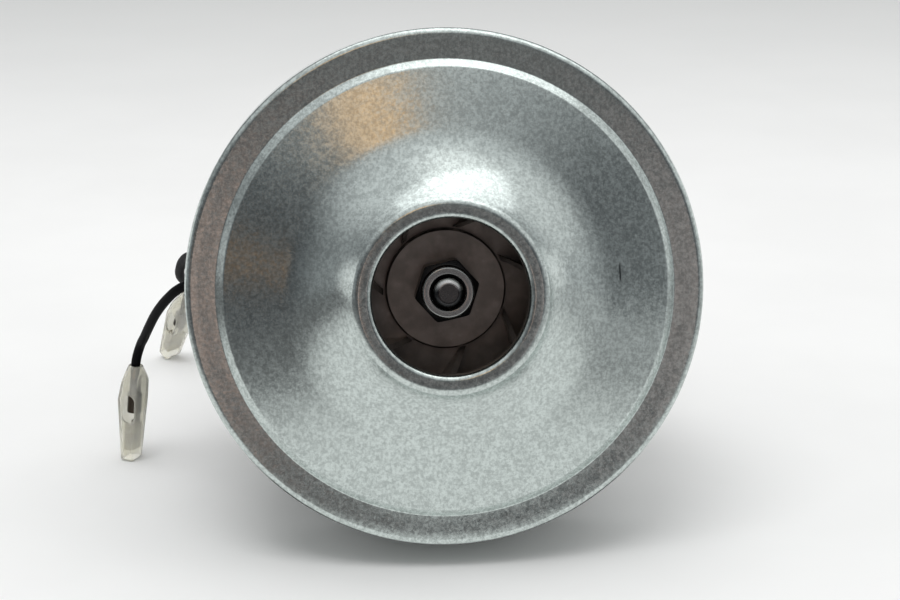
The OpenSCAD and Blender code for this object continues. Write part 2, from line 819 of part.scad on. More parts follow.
module bearing_shields() {
    shield_t = 0.35;
    shield_in = 0.3;
    for (z = [shield_in, bearing_w - shield_in - shield_t])
        washer(ball_pitch + race_land - seat, ball_pitch - race_land + 3 * run_gap, z, z + shield_t);
}

module at_front_bearing() place() translate([0, 0, front_bearing_z]) children();

module at_rear_bearing() place() translate([0, 0, rear_bearing_z]) children();

module front_bearing_outer() color("LightSteelBlue") at_front_bearing() bearing_outer();

module front_bearing_inner() color("LightSteelBlue") at_front_bearing() bearing_inner();

module front_bearing_balls() color("White") at_front_bearing() bearing_balls();

module front_bearing_cage() color("Goldenrod") at_front_bearing() bearing_cage();

module front_bearing_shields() color("LightSteelBlue") at_front_bearing() bearing_shields();

module rear_bearing_outer() color("LightSteelBlue") at_rear_bearing() bearing_outer();

module rear_bearing_inner() color("LightSteelBlue") at_rear_bearing() bearing_inner();

module rear_bearing_balls() color("White") at_rear_bearing() bearing_balls();

module rear_bearing_cage() color("Goldenrod") at_rear_bearing() bearing_cage();

module rear_bearing_shields() color("LightSteelBlue") at_rear_bearing() bearing_shields();

module preload_washer() {
    color("Silver") place()
        washer(bearing_r - 0.5, ball_pitch + race_land - 0.5, cup_rear + can_t, rear_bearing_z);
}

// One side's brush gear, drawn on the +x side
module right_side() place() translate([0, 0, brush_z]) children();

module left_side() place() translate([0, 0, brush_z]) rotate(180) children();

// Block along x between two distances from the axis
module block(x0, x1, w, a) translate([x0, -w / 2, -a / 2]) cube([x1 - x0, w, a]);

module brush_holder() {
    tower_w = holder_w - 1;
    difference() {
        union() {
            block(holder_in, can_r + ear_t, holder_w, holder_a);
            block(can_r, holder_out, tower_w, holder_a);
            difference() {
                block(can_r - ear_t, can_r + ear_t, ear_w, holder_a);
                translate([0, 0, -can_l / 2]) cylinder(h = can_l, r = can_r + seat, $fn = round_fn);
            }
        }
        block(
            holder_in - past, holder_out + past,
            guide_w + 2 * (guide_t + seat), guide_a + 2 * (guide_t + seat)
        );
        for (y = [-1, 1])
            translate([can_r - 2 * ear_t, y * holder_screw_y, 0]) rotate([0, 90, 0])
                cylinder(h = 4 * ear_t, r = holder_screw_r + seat, $fn = round_fn);
    }
}

module brush_guide() {
    difference() {
        block(guide_in, guide_out, guide_w + 2 * guide_t, guide_a + 2 * guide_t);
        block(guide_in - past, guide_out + past, guide_w, guide_a);
    }
}

module brush() {
    difference() {
        block(comm_r - brush_w / 2, brush_back, brush_w, brush_a);
        translate([0, 0, -brush_a]) cylinder(h = 2 * brush_a, r = brush_face, $fn = round_fn);
    }
}

module brush_spring() {
    free = spring_wire / 2 + seat;
    length = spring_end - brush_back - 2 * free;
    steps = spring_turns * spring_steps;
    route = [
        for (i = [0 : steps])
            let (a = 360 * i / spring_steps)
            [brush_back + free + length * i / steps, spring_r * cos(a), spring_r * sin(a)]
    ];
    tube(route, spring_wire / 2, 6, [1, 0, 0]);
}

module brush_cap() {
    block(spring_end, guide_out, guide_w - 2 * seat, guide_a - 2 * seat);
    block(guide_out, guide_out + cap_t, guide_w + 2 * guide_t, guide_a + 2 * guide_t);
}

module holder_screws() {
    top = can_r + ear_t;
    dome = 0.6;
    head_h = 1.8;
    for (y = [-1, 1]) translate([0, y * holder_screw_y, 0]) rotate([0, 90, 0]) revolve([
        [0, top - 2 * holder_screw_l], [holder_screw_r, top - 2 * holder_screw_l], [holder_screw_r, top],
        [holder_screw_head_r, top], [holder_screw_head_r, top + head_h - dome],
        [holder_screw_head_r - dome, top + head_h], [0, top + head_h]
    ]);
}

module brush_holder_left() color("Sienna") left_side() brush_holder();

module brush_holder_right() color("Sienna") right_side() brush_holder();

module brush_guide_left() color("Gold") left_side() brush_guide();

module brush_guide_right() color("Gold") right_side() brush_guide();

module brush_left() color("Black") left_side() brush();

module brush_right() color("Black") right_side() brush();

module brush_spring_left() color("Silver") left_side() brush_spring();

module brush_spring_right() color("Silver") right_side() brush_spring();

module brush_cap_left() color("Black") left_side() brush_cap();

module brush_cap_right() color("Black") right_side() brush_cap();

module brush_holder_screws() {
    color("Silver") {
        left_side() holder_screws();
        right_side() holder_screws();
    }
}

// Oblong along the axis, across the can's left wall
module grommet_plan(r, x0, x1) {
    translate([x0, 0, 0]) rotate([0, 90, 0]) {
        for (z = [lead_1_z, lead_2_z]) translate([-z, 0, 0]) cylinder(h = x1 - x0, r = r, $fn = round_fn);
        translate([-lead_1_z, -r, 0]) cube([lead_1_z - lead_2_z, 2 * r, x1 - x0]);
    }
}

module lead_grommet() {
    neck_r = grommet_r - grommet_lip - grommet_groove;
    wall_out = -can_r - grommet_groove;
    wall_in = -can_in_r + 0.8;
    tip = wall_out - grommet_out;
    color("Black") place() difference() {
        union() {
            grommet_plan(neck_r, wall_out - past, wall_in);
            grommet_plan(grommet_r, wall_out - grommet_lip, wall_out);
            grommet_plan(neck_r, tip, wall_out);
            grommet_plan(grommet_r, wall_in, wall_in + grommet_lip);
        }
        for (z = [lead_1_z, lead_2_z])
            translate([tip - past, 0, z]) rotate([0, 90, 0])
                cylinder(h = 2 * grommet_out + can_t + 8, r = lead_d / 2 + lead_play, $fn = round_fn);
    }
}

module lead_1() {
    route = lead_route(lead_1_z, lead_1_middle, sleeve_1_foot, sleeve_1_lean);
    color("Black") tube(route, lead_d / 2, lead_sides);
}

module lead_2() {
    route = lead_route(lead_2_z, lead_2_middle, sleeve_2_foot, sleeve_2_lean);
    color("Black") tube(route, lead_d / 2, lead_sides);
}

module at_sleeve_1() translate(sleeve_1_foot) rotate(sleeve_1_lean) rotate(sleeve_1_turn) children();

module at_sleeve_2() translate(sleeve_2_foot) rotate(sleeve_2_lean) rotate(sleeve_2_turn) children();

// Outline of a sleeve: its mouth at the foot, its widest part at the shoulder, then its top
module sleeve_outline(mouth, back, belly, top) {
    polygon([
        [-mouth, 0], [mouth, 0], [belly, sleeve_shoulder], [top, sleeve_l],
        [-back, sleeve_l], [-back, sleeve_shoulder]
    ]);
}

module sleeve_body(thin) {
    half_w = sleeve_w / 2 - thin;
    back = sleeve_back - thin;
    belly = sleeve_belly - thin;
    neck_r = sleeve_neck_r - thin;
    cone_r = sleeve_w - thin;
    intersection() {
        translate([0, (belly - back) / 2, 0]) linear_extrude(sleeve_l)
            rounded_plan(2 * half_w, back + belly, sleeve_round - thin);
        rotate([90, 0, 0]) linear_extrude(2 * sleeve_w, center = true)
            sleeve_outline(sleeve_mouth_w / 2 - thin, half_w, half_w, half_w);
        rotate([90, 0, 90]) linear_extrude(2 * sleeve_w, center = true)
            sleeve_outline(sleeve_mouth_h / 2 - thin, back, belly, neck_r);
        revolve([
            [0, 0], [cone_r, 0], [cone_r, sleeve_l - (cone_r - neck_r) / sleeve_taper],
            [neck_r, sleeve_l], [0, sleeve_l]
        ]);
    }
}

module terminal_sleeve() {
    window_w = 3;
    window_low = crimp_z - 1.3;
    window_high = crimp_z + 2.9;
    difference() {
        sleeve_body(0);
        sleeve_body(sleeve_t);
        translate([-sleeve_w, -window_w / 2, window_low])
            cube([sleeve_w, window_w, window_high - window_low]);
        for (z = [window_low, window_high]) translate([-sleeve_w, 0, z]) rotate([0, 90, 0])
            cylinder(h = sleeve_w, r = window_w / 2, $fn = round_fn);
    }
}

// Receptacle: a flat channel with rolled sides, a neck and a crimp barrel round the lead
module receptacle() {
    w = sleeve_mouth_w - 2 * sleeve_t - 0.3;
    h = sleeve_mouth_h - 2 * sleeve_t - 0.3;
    barrel_r = lead_d / 2 + brass_t + lead_play;
    translate([0, 0, receptacle_in]) difference() {
        translate([-w / 2, -h / 2, 0]) cube([w, h, receptacle_l]);
        translate([-w / 2 + brass_t, -h / 2 + brass_t, -past])
            cube([w - 2 * brass_t, h - 2 * brass_t, receptacle_l + 2 * past]);
        translate([-w / 4, 0, -past]) cube([w / 2, h, receptacle_l + 2 * past]);
    }
    translate([-barrel_r / 2, -h / 2, receptacle_in + receptacle_l - past])
        cube([barrel_r, brass_t, crimp_gap + 2 * past]);
    difference() {
        translate([0, 0, crimp_z]) cylinder(h = crimp_l, r = barrel_r, $fn = round_fn);
        translate([0, 0, crimp_z - past])
            cylinder(h = crimp_l + 2 * past, r = lead_d / 2 + lead_play, $fn = round_fn);
    }
}

module receptacle_1() color("Gold") at_sleeve_1() receptacle();

module receptacle_2() color("Gold") at_sleeve_2() receptacle();

module terminal_sleeve_1() color("Ivory", 0.6) at_sleeve_1() terminal_sleeve();

module terminal_sleeve_2() color("Ivory", 0.6) at_sleeve_2() terminal_sleeve();

fan_case();
impeller_front_plate();
impeller_back_plate();
impeller_blades();
hub_washer();
rear_hub_washer();
hub_spacer();
impeller_nut();
nut_insert();
diffuser();
diffuser_screws();
front_bracket();
bracket_screws();
motor_can();
field_core();
field_coil_upper();
field_coil_lower();
slot_liners();
armature_shaft();
armature_core();
armature_winding();
commutator_bars();
commutator_hub();
front_bearing_outer();
front_bearing_inner();
front_bearing_balls();
front_bearing_cage();
front_bearing_shields();
rear_bearing_outer();
rear_bearing_inner();
rear_bearing_balls();
rear_bearing_cage();
rear_bearing_shields();
preload_washer();
brush_holder_left();
brush_guide_left();
brush_left();
brush_spring_left();
brush_cap_left();
brush_holder_right();
brush_guide_right();
brush_right();
brush_spring_right();
brush_cap_right();
brush_holder_screws();
lead_grommet();
lead_1();
lead_2();
receptacle_1();
receptacle_2();
terminal_sleeve_1();
terminal_sleeve_2();
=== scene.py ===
# %% [markdown]
# # The fan and motor of an air blower
# This is the bare unit that blows air into a spa: a drawn steel case with a round inlet in front, a fan
# wheel behind the inlet, and a motor behind the fan. It lies on its side, so the inlet looks at us.
# The solids are already built and packed, and they fix every size and place. This script adds what the eye
# needs: finer surfaces, finishes, light and a camera.

# %% Load the fixed frame
import json
import math

import bmesh
import bpy
from mathutils import Euler, Matrix, Vector, noise


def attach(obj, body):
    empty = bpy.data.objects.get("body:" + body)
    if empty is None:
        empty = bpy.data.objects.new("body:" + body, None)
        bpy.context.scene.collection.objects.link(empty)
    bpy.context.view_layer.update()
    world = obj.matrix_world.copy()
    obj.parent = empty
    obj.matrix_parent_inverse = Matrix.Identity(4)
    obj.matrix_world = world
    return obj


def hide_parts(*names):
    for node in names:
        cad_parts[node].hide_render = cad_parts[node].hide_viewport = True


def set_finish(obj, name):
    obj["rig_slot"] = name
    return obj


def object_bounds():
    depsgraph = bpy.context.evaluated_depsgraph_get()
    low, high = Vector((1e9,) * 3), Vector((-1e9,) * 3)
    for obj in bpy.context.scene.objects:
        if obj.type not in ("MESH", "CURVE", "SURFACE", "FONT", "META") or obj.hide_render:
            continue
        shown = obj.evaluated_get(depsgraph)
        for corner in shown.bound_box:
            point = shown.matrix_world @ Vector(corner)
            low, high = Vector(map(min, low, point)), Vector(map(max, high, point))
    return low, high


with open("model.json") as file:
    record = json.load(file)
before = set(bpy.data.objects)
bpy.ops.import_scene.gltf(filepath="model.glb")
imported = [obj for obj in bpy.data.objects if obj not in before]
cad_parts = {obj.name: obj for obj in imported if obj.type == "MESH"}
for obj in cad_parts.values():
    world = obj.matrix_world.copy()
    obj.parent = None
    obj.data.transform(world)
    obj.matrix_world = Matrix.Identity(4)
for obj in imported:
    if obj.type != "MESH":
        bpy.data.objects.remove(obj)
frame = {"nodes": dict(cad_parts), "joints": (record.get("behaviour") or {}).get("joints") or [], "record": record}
cad_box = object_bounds()
nodes = frame["nodes"]

# %% [markdown]
# ## The motor's axis
# Almost everything here is turned or drawn about one line, the motor's axis. The joint of the shaft gives a
# point on it, in the plane of the case's flange, and the way the inlet faces. A matrix made from the two
# lets a turned piece be drawn upright, with z along the axis, and laid down where its solid lies.

# %% A frame on the axis
MM = 0.001
spin = next(j for j in frame["joints"] if j["name"] == "rotor_spin")
inlet_way = Vector(spin["axis"]).normalized()
across = Vector((1, 0, 0))
laid_down = Matrix((across, inlet_way.cross(across), inlet_way)).transposed().to_4x4()
laid_down.translation = Vector(spin["pos_m"])


def on_axis(x, y, z):
    """A point of the upright unit, in millimetres, where the unit lies."""
    return laid_down @ (Vector((x, y, z)) * MM)


print("the axis tips up by", round(math.degrees(math.asin(inlet_way.z)), 2), "degrees")

# %% [markdown]
# ## The camera
# The photograph looks almost straight into the inlet, from a little above it. A camera could be placed by eye,
# but the circles of the case are a surer guide: their shape gives the tilt, and their size gives the distance
# for a longish lens. The camera comes before the pieces, because the leads have to lie inside its view.

# %% Look into the inlet
CAMERA_PLACE = (-0.03383, -0.53386, 0.22730)
CAMERA_SIGHT = (0.06664868, 0.94534223, -0.3191959)
LENS_MM, SENSOR_MM = 91.8, 36

scene = bpy.context.scene
scene.view_settings.view_transform = "Standard"
lens = bpy.data.cameras.new("inlet_view")
lens.lens = LENS_MM
lens.sensor_width = SENSOR_MM
camera = bpy.data.objects.new("inlet_view", lens)
scene.collection.objects.link(camera)
camera.location = CAMERA_PLACE
camera.rotation_euler = Vector(CAMERA_SIGHT).to_track_quat("-Z", "Y").to_euler()
scene.camera = camera
print("camera at", [round(c, 3) for c in camera.location])

# %% [markdown]
# ## The two leads
# Two thin black leads leave the motor through a rubber grommet in its left wall, bend round behind the case
# and end in small push-on receptacles under clear sleeves. A lead is one smooth line with a round section,
# so a curve with a bevel is the natural way: it follows the same points as the solid, but without facets.

# %% Lay the leads
LEAD_D = 2.4
SLEEVE_L = 25
LEAD_START = (-41, -46, -50.6)  # across the axis, from inside the can to the grommet
LEAD_INTO_SLEEVE = (25.8, 21, 13.7)  # heights in the sleeve, down to the crimp


def standing(foot, lean, turn):
    """Where a sleeve stands: its foot in millimetres, its lean about x and y, and its turn, in degrees."""
    tip = Euler((math.radians(lean[0]), math.radians(lean[1]), 0)).to_matrix().to_4x4()
    return Matrix.Translation(Vector(foot) * MM) @ tip @ Matrix.Rotation(math.radians(turn), 4, "Z")


lead_plan = {
    "lead_1": {
        "outlet": -27.6,
        "length": 0.0773,
        "sleeve": standing((-77.2, 18.3, 0.3), (0, 5), 65),
        "middle": [
            (-54.9, -13.7, 57.5), (-58.8, -10.9, 56.3), (-62.2, -8.3, 54), (-64.8, -4.9, 50.8),
            (-67, -1, 47.2), (-68.9, 3.2, 43.3), (-70.6, 7.8, 39), (-72.1, 12.4, 34.9), (-73.6, 16.3, 31),
        ],
    },
    "lead_2": {
        "outlet": -31.4,
        "length": 0.127,
        "sleeve": standing((-70.7, 93.9, 1.5), (28, 17), 45),
        "middle": [
            (-54.6, -8.6, 57.6), (-57.3, -3.6, 58.6), (-59.5, 3, 58.5), (-61.3, 9.2, 56), (-62.6, 15.2, 52.2),
            (-63.1, 21.5, 48.1), (-62.6, 28, 44.7), (-62.2, 35, 41.9), (-62.2, 43, 39.2), (-62.3, 51, 36.6),
            (-62.6, 59, 34.1), (-62.9, 66.5, 31.6), (-63.2, 73, 29.3), (-63.5, 78.8, 26.6),
        ],
    },
}


def lay_lead(name, plan):
    """A round curve from inside the can, through the middle points and into the sleeve."""
    line = [on_axis(x, 0, plan["outlet"]) for x in LEAD_START]
    line += [Vector(p) * MM for p in plan["middle"]]
    line += [plan["sleeve"] @ Vector((0, 0, s * MM)) for s in LEAD_INTO_SLEEVE]
    data = bpy.data.curves.new(name + "_insulation", "CURVE")
    data.dimensions = "3D"
    data.bevel_depth = 1.0
    data.bevel_resolution = 6
    data.resolution_u = 8
    data.use_fill_caps = True
    spline = data.splines.new("BEZIER")
    spline.bezier_points.add(len(line) - 1)
    for knot, place in zip(spline.bezier_points, line):
        knot.co = place
        knot.radius = LEAD_D / 2 * MM
        knot.handle_left_type = knot.handle_right_type = "AUTO"
    lead = bpy.data.objects.new(name + "_insulation", data)
    scene.collection.objects.link(lead)
    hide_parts(name)
    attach(lead, "housing")
    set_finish(lead, "lead_insulation")
    return lead


leads = {name: lay_lead(name, plan) for name, plan in lead_plan.items()}
print("leads laid:", sorted(leads))

# %% [markdown]
# ## The clear sleeves
# Each receptacle wears a push-on sleeve of soft, clear plastic: flat at its mouth, widest at a shoulder, and
# narrowing to a neck round the lead. A window in its wall shows the crimp. It could be cut out of a block, but
# a loft keeps the wall thin and even: one rounded outline, repeated along the sleeve with changing widths,
# outside and inside, joined at the two ends and round the window.

# %% A loft for the sleeves
SLEEVE_W = 6.8
SLEEVE_BACK = 2.5
SLEEVE_BELLY = 3.3
SLEEVE_WALL = 0.6
MOUTH_W, MOUTH_H = 5.6, 3.6
SHOULDER = 16.0
NECK_R = 1.85
TAPER = 0.5
BOX_POWER = 8  # how square the outline is: 2 would be an ellipse
EDGE_BLEND = 0.5
END_KEEP = 1  # the two ends keep their own edges within this height
SLEEVE_CREASE = 40
WINDOW_R, WINDOW_LOW, WINDOW_HIGH = 1.8, 12.0, 16.0
RINGS = 96
SPOKES = 120


def shaded_piece(name, mesh, crease):
    """A piece from a bmesh: smooth, but sharp where the surface turns by more than crease degrees."""
    for face in mesh.faces:
        face.smooth = True
    for edge in mesh.edges:
        edge.smooth = len(edge.link_faces) == 2 and edge.calc_face_angle(0) < math.radians(crease)
    data = bpy.data.meshes.new(name)
    mesh.to_mesh(data)
    mesh.free()
    piece = bpy.data.objects.new(name, data)
    scene.collection.objects.link(piece)
    return piece


def soft_min(a, b, blend):
    """The smaller of two lengths, with the corner between them rounded off."""
    h = max(blend - abs(a - b), 0) / blend
    return min(a, b) - h * h * blend / 4


def sleeve_radius(angle, z, thin):
    """Distance from the sleeve's centre line to its wall, at an angle and a height, in millimetres."""
    up = min(z / SHOULDER, 1)
    past_shoulder = max(z - SHOULDER, 0) / (SLEEVE_L - SHOULDER)
    side = (MOUTH_W / 2 + (SLEEVE_W - MOUTH_W) / 2 * up) - thin
    back = MOUTH_H / 2 + (SLEEVE_BACK - MOUTH_H / 2) * up - thin
    belly = MOUTH_H / 2 + (SLEEVE_BELLY - MOUTH_H / 2) * up - thin
    belly += (NECK_R - SLEEVE_BELLY) * past_shoulder
    c, s = math.cos(angle), math.sin(angle)
    flat = belly if s > 0 else back
    box = (abs(c / side) ** BOX_POWER + abs(s / flat) ** BOX_POWER) ** (-1 / BOX_POWER)
    cone = NECK_R - thin + (SLEEVE_L - z) * TAPER
    return soft_min(box, cone, EDGE_BLEND)


def to_window(y, z):
    """Distance outside the window's edge, and the nearest point on that edge: a slot with round ends."""
    middle = Vector((0, min(max(z, WINDOW_LOW), WINDOW_HIGH)))
    away = Vector((y, z)) - middle
    return away.length - WINDOW_R, middle + away.normalized() * WINDOW_R


def make_sleeve(name, where):
    """Two lofted shells, open at the window, joined along all their open edges."""
    heights = [SLEEVE_L * i / (RINGS - 1) for i in range(RINGS)]
    mesh = bmesh.new()
    shells = []
    for thin in (0, SLEEVE_WALL):
        shell = []
        for z in heights:
            ring = []
            for k in range(SPOKES):
                angle = 2 * math.pi * k / SPOKES
                r = sleeve_radius(angle, z, thin)
                ring.append(mesh.verts.new(Vector((r * math.cos(angle), r * math.sin(angle), z)) * MM))
            shell.append(ring)
        shells.append(shell)
    outer, inner = shells

    def in_window(i, k):
        spot = (outer[i][k].co + outer[i + 1][(k + 1) % SPOKES].co) / 2 / MM
        return spot.x < 0 and to_window(spot.y, spot.z)[0] < 0

    for i in range(RINGS - 1):
        for k in range(SPOKES):
            n = (k + 1) % SPOKES
            if in_window(i, k):
                continue
            mesh.faces.new((outer[i][k], outer[i][n], outer[i + 1][n], outer[i + 1][k]))
            mesh.faces.new((inner[i][n], inner[i][k], inner[i + 1][k], inner[i + 1][n]))
    open_edges = [e for e in mesh.edges if e.is_boundary]
    rim = {v for e in open_edges for v in e.verts}
    for vert in {v for v in rim if END_KEEP < v.co.z / MM < SLEEVE_L - END_KEEP}:
        edge = to_window(vert.co.y / MM, vert.co.z / MM)[1]
        vert.co.yz = edge * MM
    partner = {a: b for ro, ri in zip(outer, inner) for a, b in zip(ro, ri)}
    for edge in open_edges:
        a, b = edge.verts
        if a in partner and b in partner:
            mesh.faces.new((b, a, partner[a], partner[b]))
    bmesh.ops.recalc_face_normals(mesh, faces=mesh.faces[:])
    sleeve = shaded_piece(name, mesh, SLEEVE_CREASE)
    sleeve.matrix_world = where
    return sleeve


print("a sleeve is", SLEEVE_L, "mm long and", SLEEVE_W, "mm wide")

# %% [markdown]
# The sleeve and the receptacle in it stay on the lead's end, so each sleeve is placed by its lead's plan. The
# lead's length in the plan is the whole of what is seen, from inside the motor's wall to the crimp.

# %% Put the sleeves on the leads
sleeves = []
for number, (name, plan) in enumerate(lead_plan.items(), 1):
    sleeve = make_sleeve(f"sleeve_{number}_shell", plan["sleeve"])
    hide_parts(f"terminal_sleeve_{number}")
    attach(sleeve, "housing")
    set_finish(sleeve, "clear_sleeve")
    sleeves.append(sleeve)
print("sleeves:", [s.name for s in sleeves])

# %% [markdown]
# ## The drawn fan case
# The case is one disc of galvanised sheet, pressed into a shallow drum: a skirt, a rounded rim, a flat flange,
# a raised step, a cone that flares up to a crest, and a lip rolled inwards at the eye. Every form is round, so
# one profile is turned about the axis. Its corners follow the solid, but its step is a lower slope and its lip
# is a little tighter, as the reflections in the photograph tell. Each corner is rounded with its own radius, in
# many small steps, because a metal surface shows each facet in its reflections.

# %% Profile of the case
SHEET = 0.8
BEND_STEPS, BEND_STEPS_PER_MM = 8, 1.5
LONGEST_STEP = 2.5
CASE_CORNERS = [
    (59, -28, 0), (59, 0.7, 1.5), (52, 0.7, 0.4), (50.35, 2.35, 0.9),
    (27.74, 8, 27), (21.29, 17.2, 2), (17.5, 17.2, 1.35), (17.35, 14, 0),
]


def arc(centre, r, start, end, steps):
    """Points on a circle, from one angle to another, in degrees."""
    turn = [math.radians(start + (end - start) * i / steps) for i in range(steps + 1)]
    return [(centre[0] + r * math.cos(a), centre[1] + r * math.sin(a)) for a in turn]


def straight(a, b, steps):
    """Points strictly between two others, on a straight line."""
    return [
        (a[0] + (b[0] - a[0]) * i / steps, a[1] + (b[1] - a[1]) * i / steps) for i in range(1, steps)
    ]


def rounded(corners):
    """A path through corners of (radius, height, rounding), in millimetres."""
    path = [corners[0][:2]]
    for before, corner, after in zip(corners, corners[1:], corners[2:]):
        tip = Vector(corner[:2])
        back, on = (Vector(p[:2]) - tip for p in (before, after))
        half = back.angle(on) / 2
        centre = tip + (back.normalized() + on.normalized()).normalized() * (corner[2] / math.sin(half))
        first = tip + back.normalized() * (corner[2] / math.tan(half)) - centre
        sweep = math.degrees(math.pi - 2 * half) * (1 if back.x * on.y - back.y * on.x < 0 else -1)
        start = math.degrees(math.atan2(first.y, first.x))
        bend = arc(centre, corner[2], start, start + sweep, BEND_STEPS + int(corner[2] * BEND_STEPS_PER_MM))
        gap = (Vector(bend[0]) - Vector(path[-1])).length
        path += straight(path[-1], bend[0], 1 + int(gap / LONGEST_STEP)) + bend
    return path + straight(path[-1], corners[-1][:2], 3) + [corners[-1][:2]]


def moved_in(path, by):
    """A path moved sideways, to the left of its own direction, as the other face of a sheet."""
    moved = []
    for i, p in enumerate(path):
        a, b = path[max(i - 1, 0)], path[min(i + 1, len(path) - 1)]
        along = Vector((b[0] - a[0], b[1] - a[1])).normalized()
        moved.append((p[0] - along.y * by, p[1] + along.x * by))
    return moved


outside = rounded(CASE_CORNERS)
case_profile = outside + moved_in(outside, SHEET)[::-1]
print("the case's profile has", len(case_profile), "points")

# %% [markdown]
# A pressed sheet is never perfectly round. A slow, tiny wave of a few hundredths of a millimetre, strongest in
# the skirt and the rim, breaks the reflections the way the real sheet does, and is too small to change any
# size.

# %% Turn the case
SLOW_WAVE, FINE_WAVE = 19, 5  # lengths of the two waves
SLOW_OUT, FINE_OUT = 0.03, 0.025  # their heights, outwards and along the axis
SLOW_ALONG, FINE_ALONG = 0.025, 0.02
FINE_SHIFT = Vector((7, 3, 1))
RIM_FROM, RIM_WIDTH = 50, 8
AROUND_CASE = 288


def join_rings(mesh, rings):
    """Faces between neighbouring rings of points, all the way round."""
    for ring, following in zip(rings, rings[1:] + rings[:1]):
        for i in range(len(ring)):
            j = (i + 1) % len(ring)
            mesh.faces.new((ring[i], following[i], following[j], ring[j]))


def turned(name, profile, around, crease=35, uneven=None):
    """A closed profile of (radius, height) pairs in millimetres, turned about z."""
    mesh = bmesh.new()
    rings = []
    for k in range(around):
        angle = 2 * math.pi * k / around
        c, s = math.cos(angle), math.sin(angle)
        ring = []
        for r, z in profile:
            dr, dz = uneven(angle, r, z) if uneven else (0, 0)
            ring.append(mesh.verts.new(Vector(((r + dr) * c, (r + dr) * s, z + dz)) * MM))
        rings.append(ring)
    join_rings(mesh, rings)
    bmesh.ops.recalc_face_normals(mesh, faces=mesh.faces[:])
    piece = shaded_piece(name, mesh, crease)
    piece.matrix_world = laid_down
    return piece


def pressed_wave(angle, r, z):
    """How far the sheet is off its true form, outwards and along the axis, in millimetres."""
    spot = Vector((math.cos(angle) * r, math.sin(angle) * r, z))
    slow = noise.noise(spot / SLOW_WAVE)
    fine = noise.noise(spot / FINE_WAVE + FINE_SHIFT)
    rim = min(max((r - RIM_FROM) / RIM_WIDTH, 0), 1)
    return (SLOW_OUT * slow + FINE_OUT * fine) * rim, SLOW_ALONG * slow + FINE_ALONG * fine * rim


case = turned("drawn_case", case_profile, AROUND_CASE, uneven=pressed_wave)
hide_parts("fan_case")
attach(case, "housing")
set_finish(case, "galvanised_steel")
print("case faces:", len(case.data.polygons))

# %% [markdown]
# ## The hub's nut and the shaft
# The fan wheel is clamped by a hexagon lock nut. Its top is a round collar that is rolled over a dark ring of
# nylon. A six-sided prism with bevels would be quicker, but its chamfers would be flat. So the nut is turned
# like the case, and each point is kept inside the hexagon, which gives the curved chamfer lines of a real nut.

# %% Turn the nut
HUB_Z = -1.5
BORE_R = 4.02
NUT_AF, NUT_HEX_H, NUT_H, NUT_TURN = 13, 5.8, 8.5, 12
COLLAR_R, COLLAR_ROUND, COLLAR_FOOT = 5.9, 0.6, 0.15
INSERT_R = 4.9
ROLL_R, ROLL_ROUND = 4.1, 0.25
FOOT_CHAMFER, TOP_CHAMFER = 0.35, 0.7
CORNER_CUT, CORNER_BLEND = 0.12, 0.3
AROUND_NUT, NUT_CREASE = 240, 22
SAME_POINT = 1e-7
SHAFT_OUT = 1.8


def nut_profile(half, corner):
    """From the bore outwards, up the hexagon and over the collar, as (radius, height) pairs."""
    shoulder = NUT_HEX_H - TOP_CHAMFER
    collar_foot = COLLAR_R + COLLAR_FOOT
    collar_top = NUT_H - COLLAR_ROUND
    path = [(BORE_R, 0), (half, 0), (corner, FOOT_CHAMFER)]
    path += straight((corner, FOOT_CHAMFER), (corner, shoulder), 8) + [(corner, shoulder)]
    path += straight((corner, shoulder), (collar_foot, NUT_HEX_H), 12)
    path += arc((collar_foot, NUT_HEX_H + COLLAR_FOOT), COLLAR_FOOT, 270, 180, 4)
    path += arc((COLLAR_R - COLLAR_ROUND, collar_top), COLLAR_ROUND, 0, 90, 10)
    path += arc((ROLL_R + ROLL_ROUND, NUT_H - ROLL_ROUND), ROLL_ROUND, 90, 180, 5)
    path += [(ROLL_R, collar_top), (INSERT_R, collar_top), (INSERT_R, NUT_HEX_H)]
    return path + [(BORE_R, NUT_HEX_H)]


def turned_nut():
    """The profile, turned about z and cut back to the hexagon's flats."""
    half = NUT_AF / 2
    corner = half / math.cos(math.radians(30))
    profile = nut_profile(half, corner)
    mesh = bmesh.new()
    rings = []
    for k in range(AROUND_NUT):
        angle = 2 * math.pi * k / AROUND_NUT
        from_flat = (math.degrees(angle) - NUT_TURN - 30) % 60
        from_flat = from_flat - 60 if from_flat > 30 else from_flat
        reach = soft_min(half / math.cos(math.radians(from_flat)), corner - CORNER_CUT, CORNER_BLEND)
        ring = []
        for r, z in profile:
            r = min(r, reach)
            ring.append(mesh.verts.new(Vector((r * math.cos(angle), r * math.sin(angle), z + HUB_Z)) * MM))
        rings.append(ring)
    join_rings(mesh, rings)
    bmesh.ops.remove_doubles(mesh, verts=mesh.verts[:], dist=SAME_POINT)
    bmesh.ops.recalc_face_normals(mesh, faces=mesh.faces[:])
    nut = shaded_piece("lock_nut", mesh, NUT_CREASE)
    nut.matrix_world = laid_down
    return nut


nut = turned_nut()
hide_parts("impeller_nut")
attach(nut, "rotor")
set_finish(nut, "plated_steel")
print("nut faces:", len(nut.data.polygons))
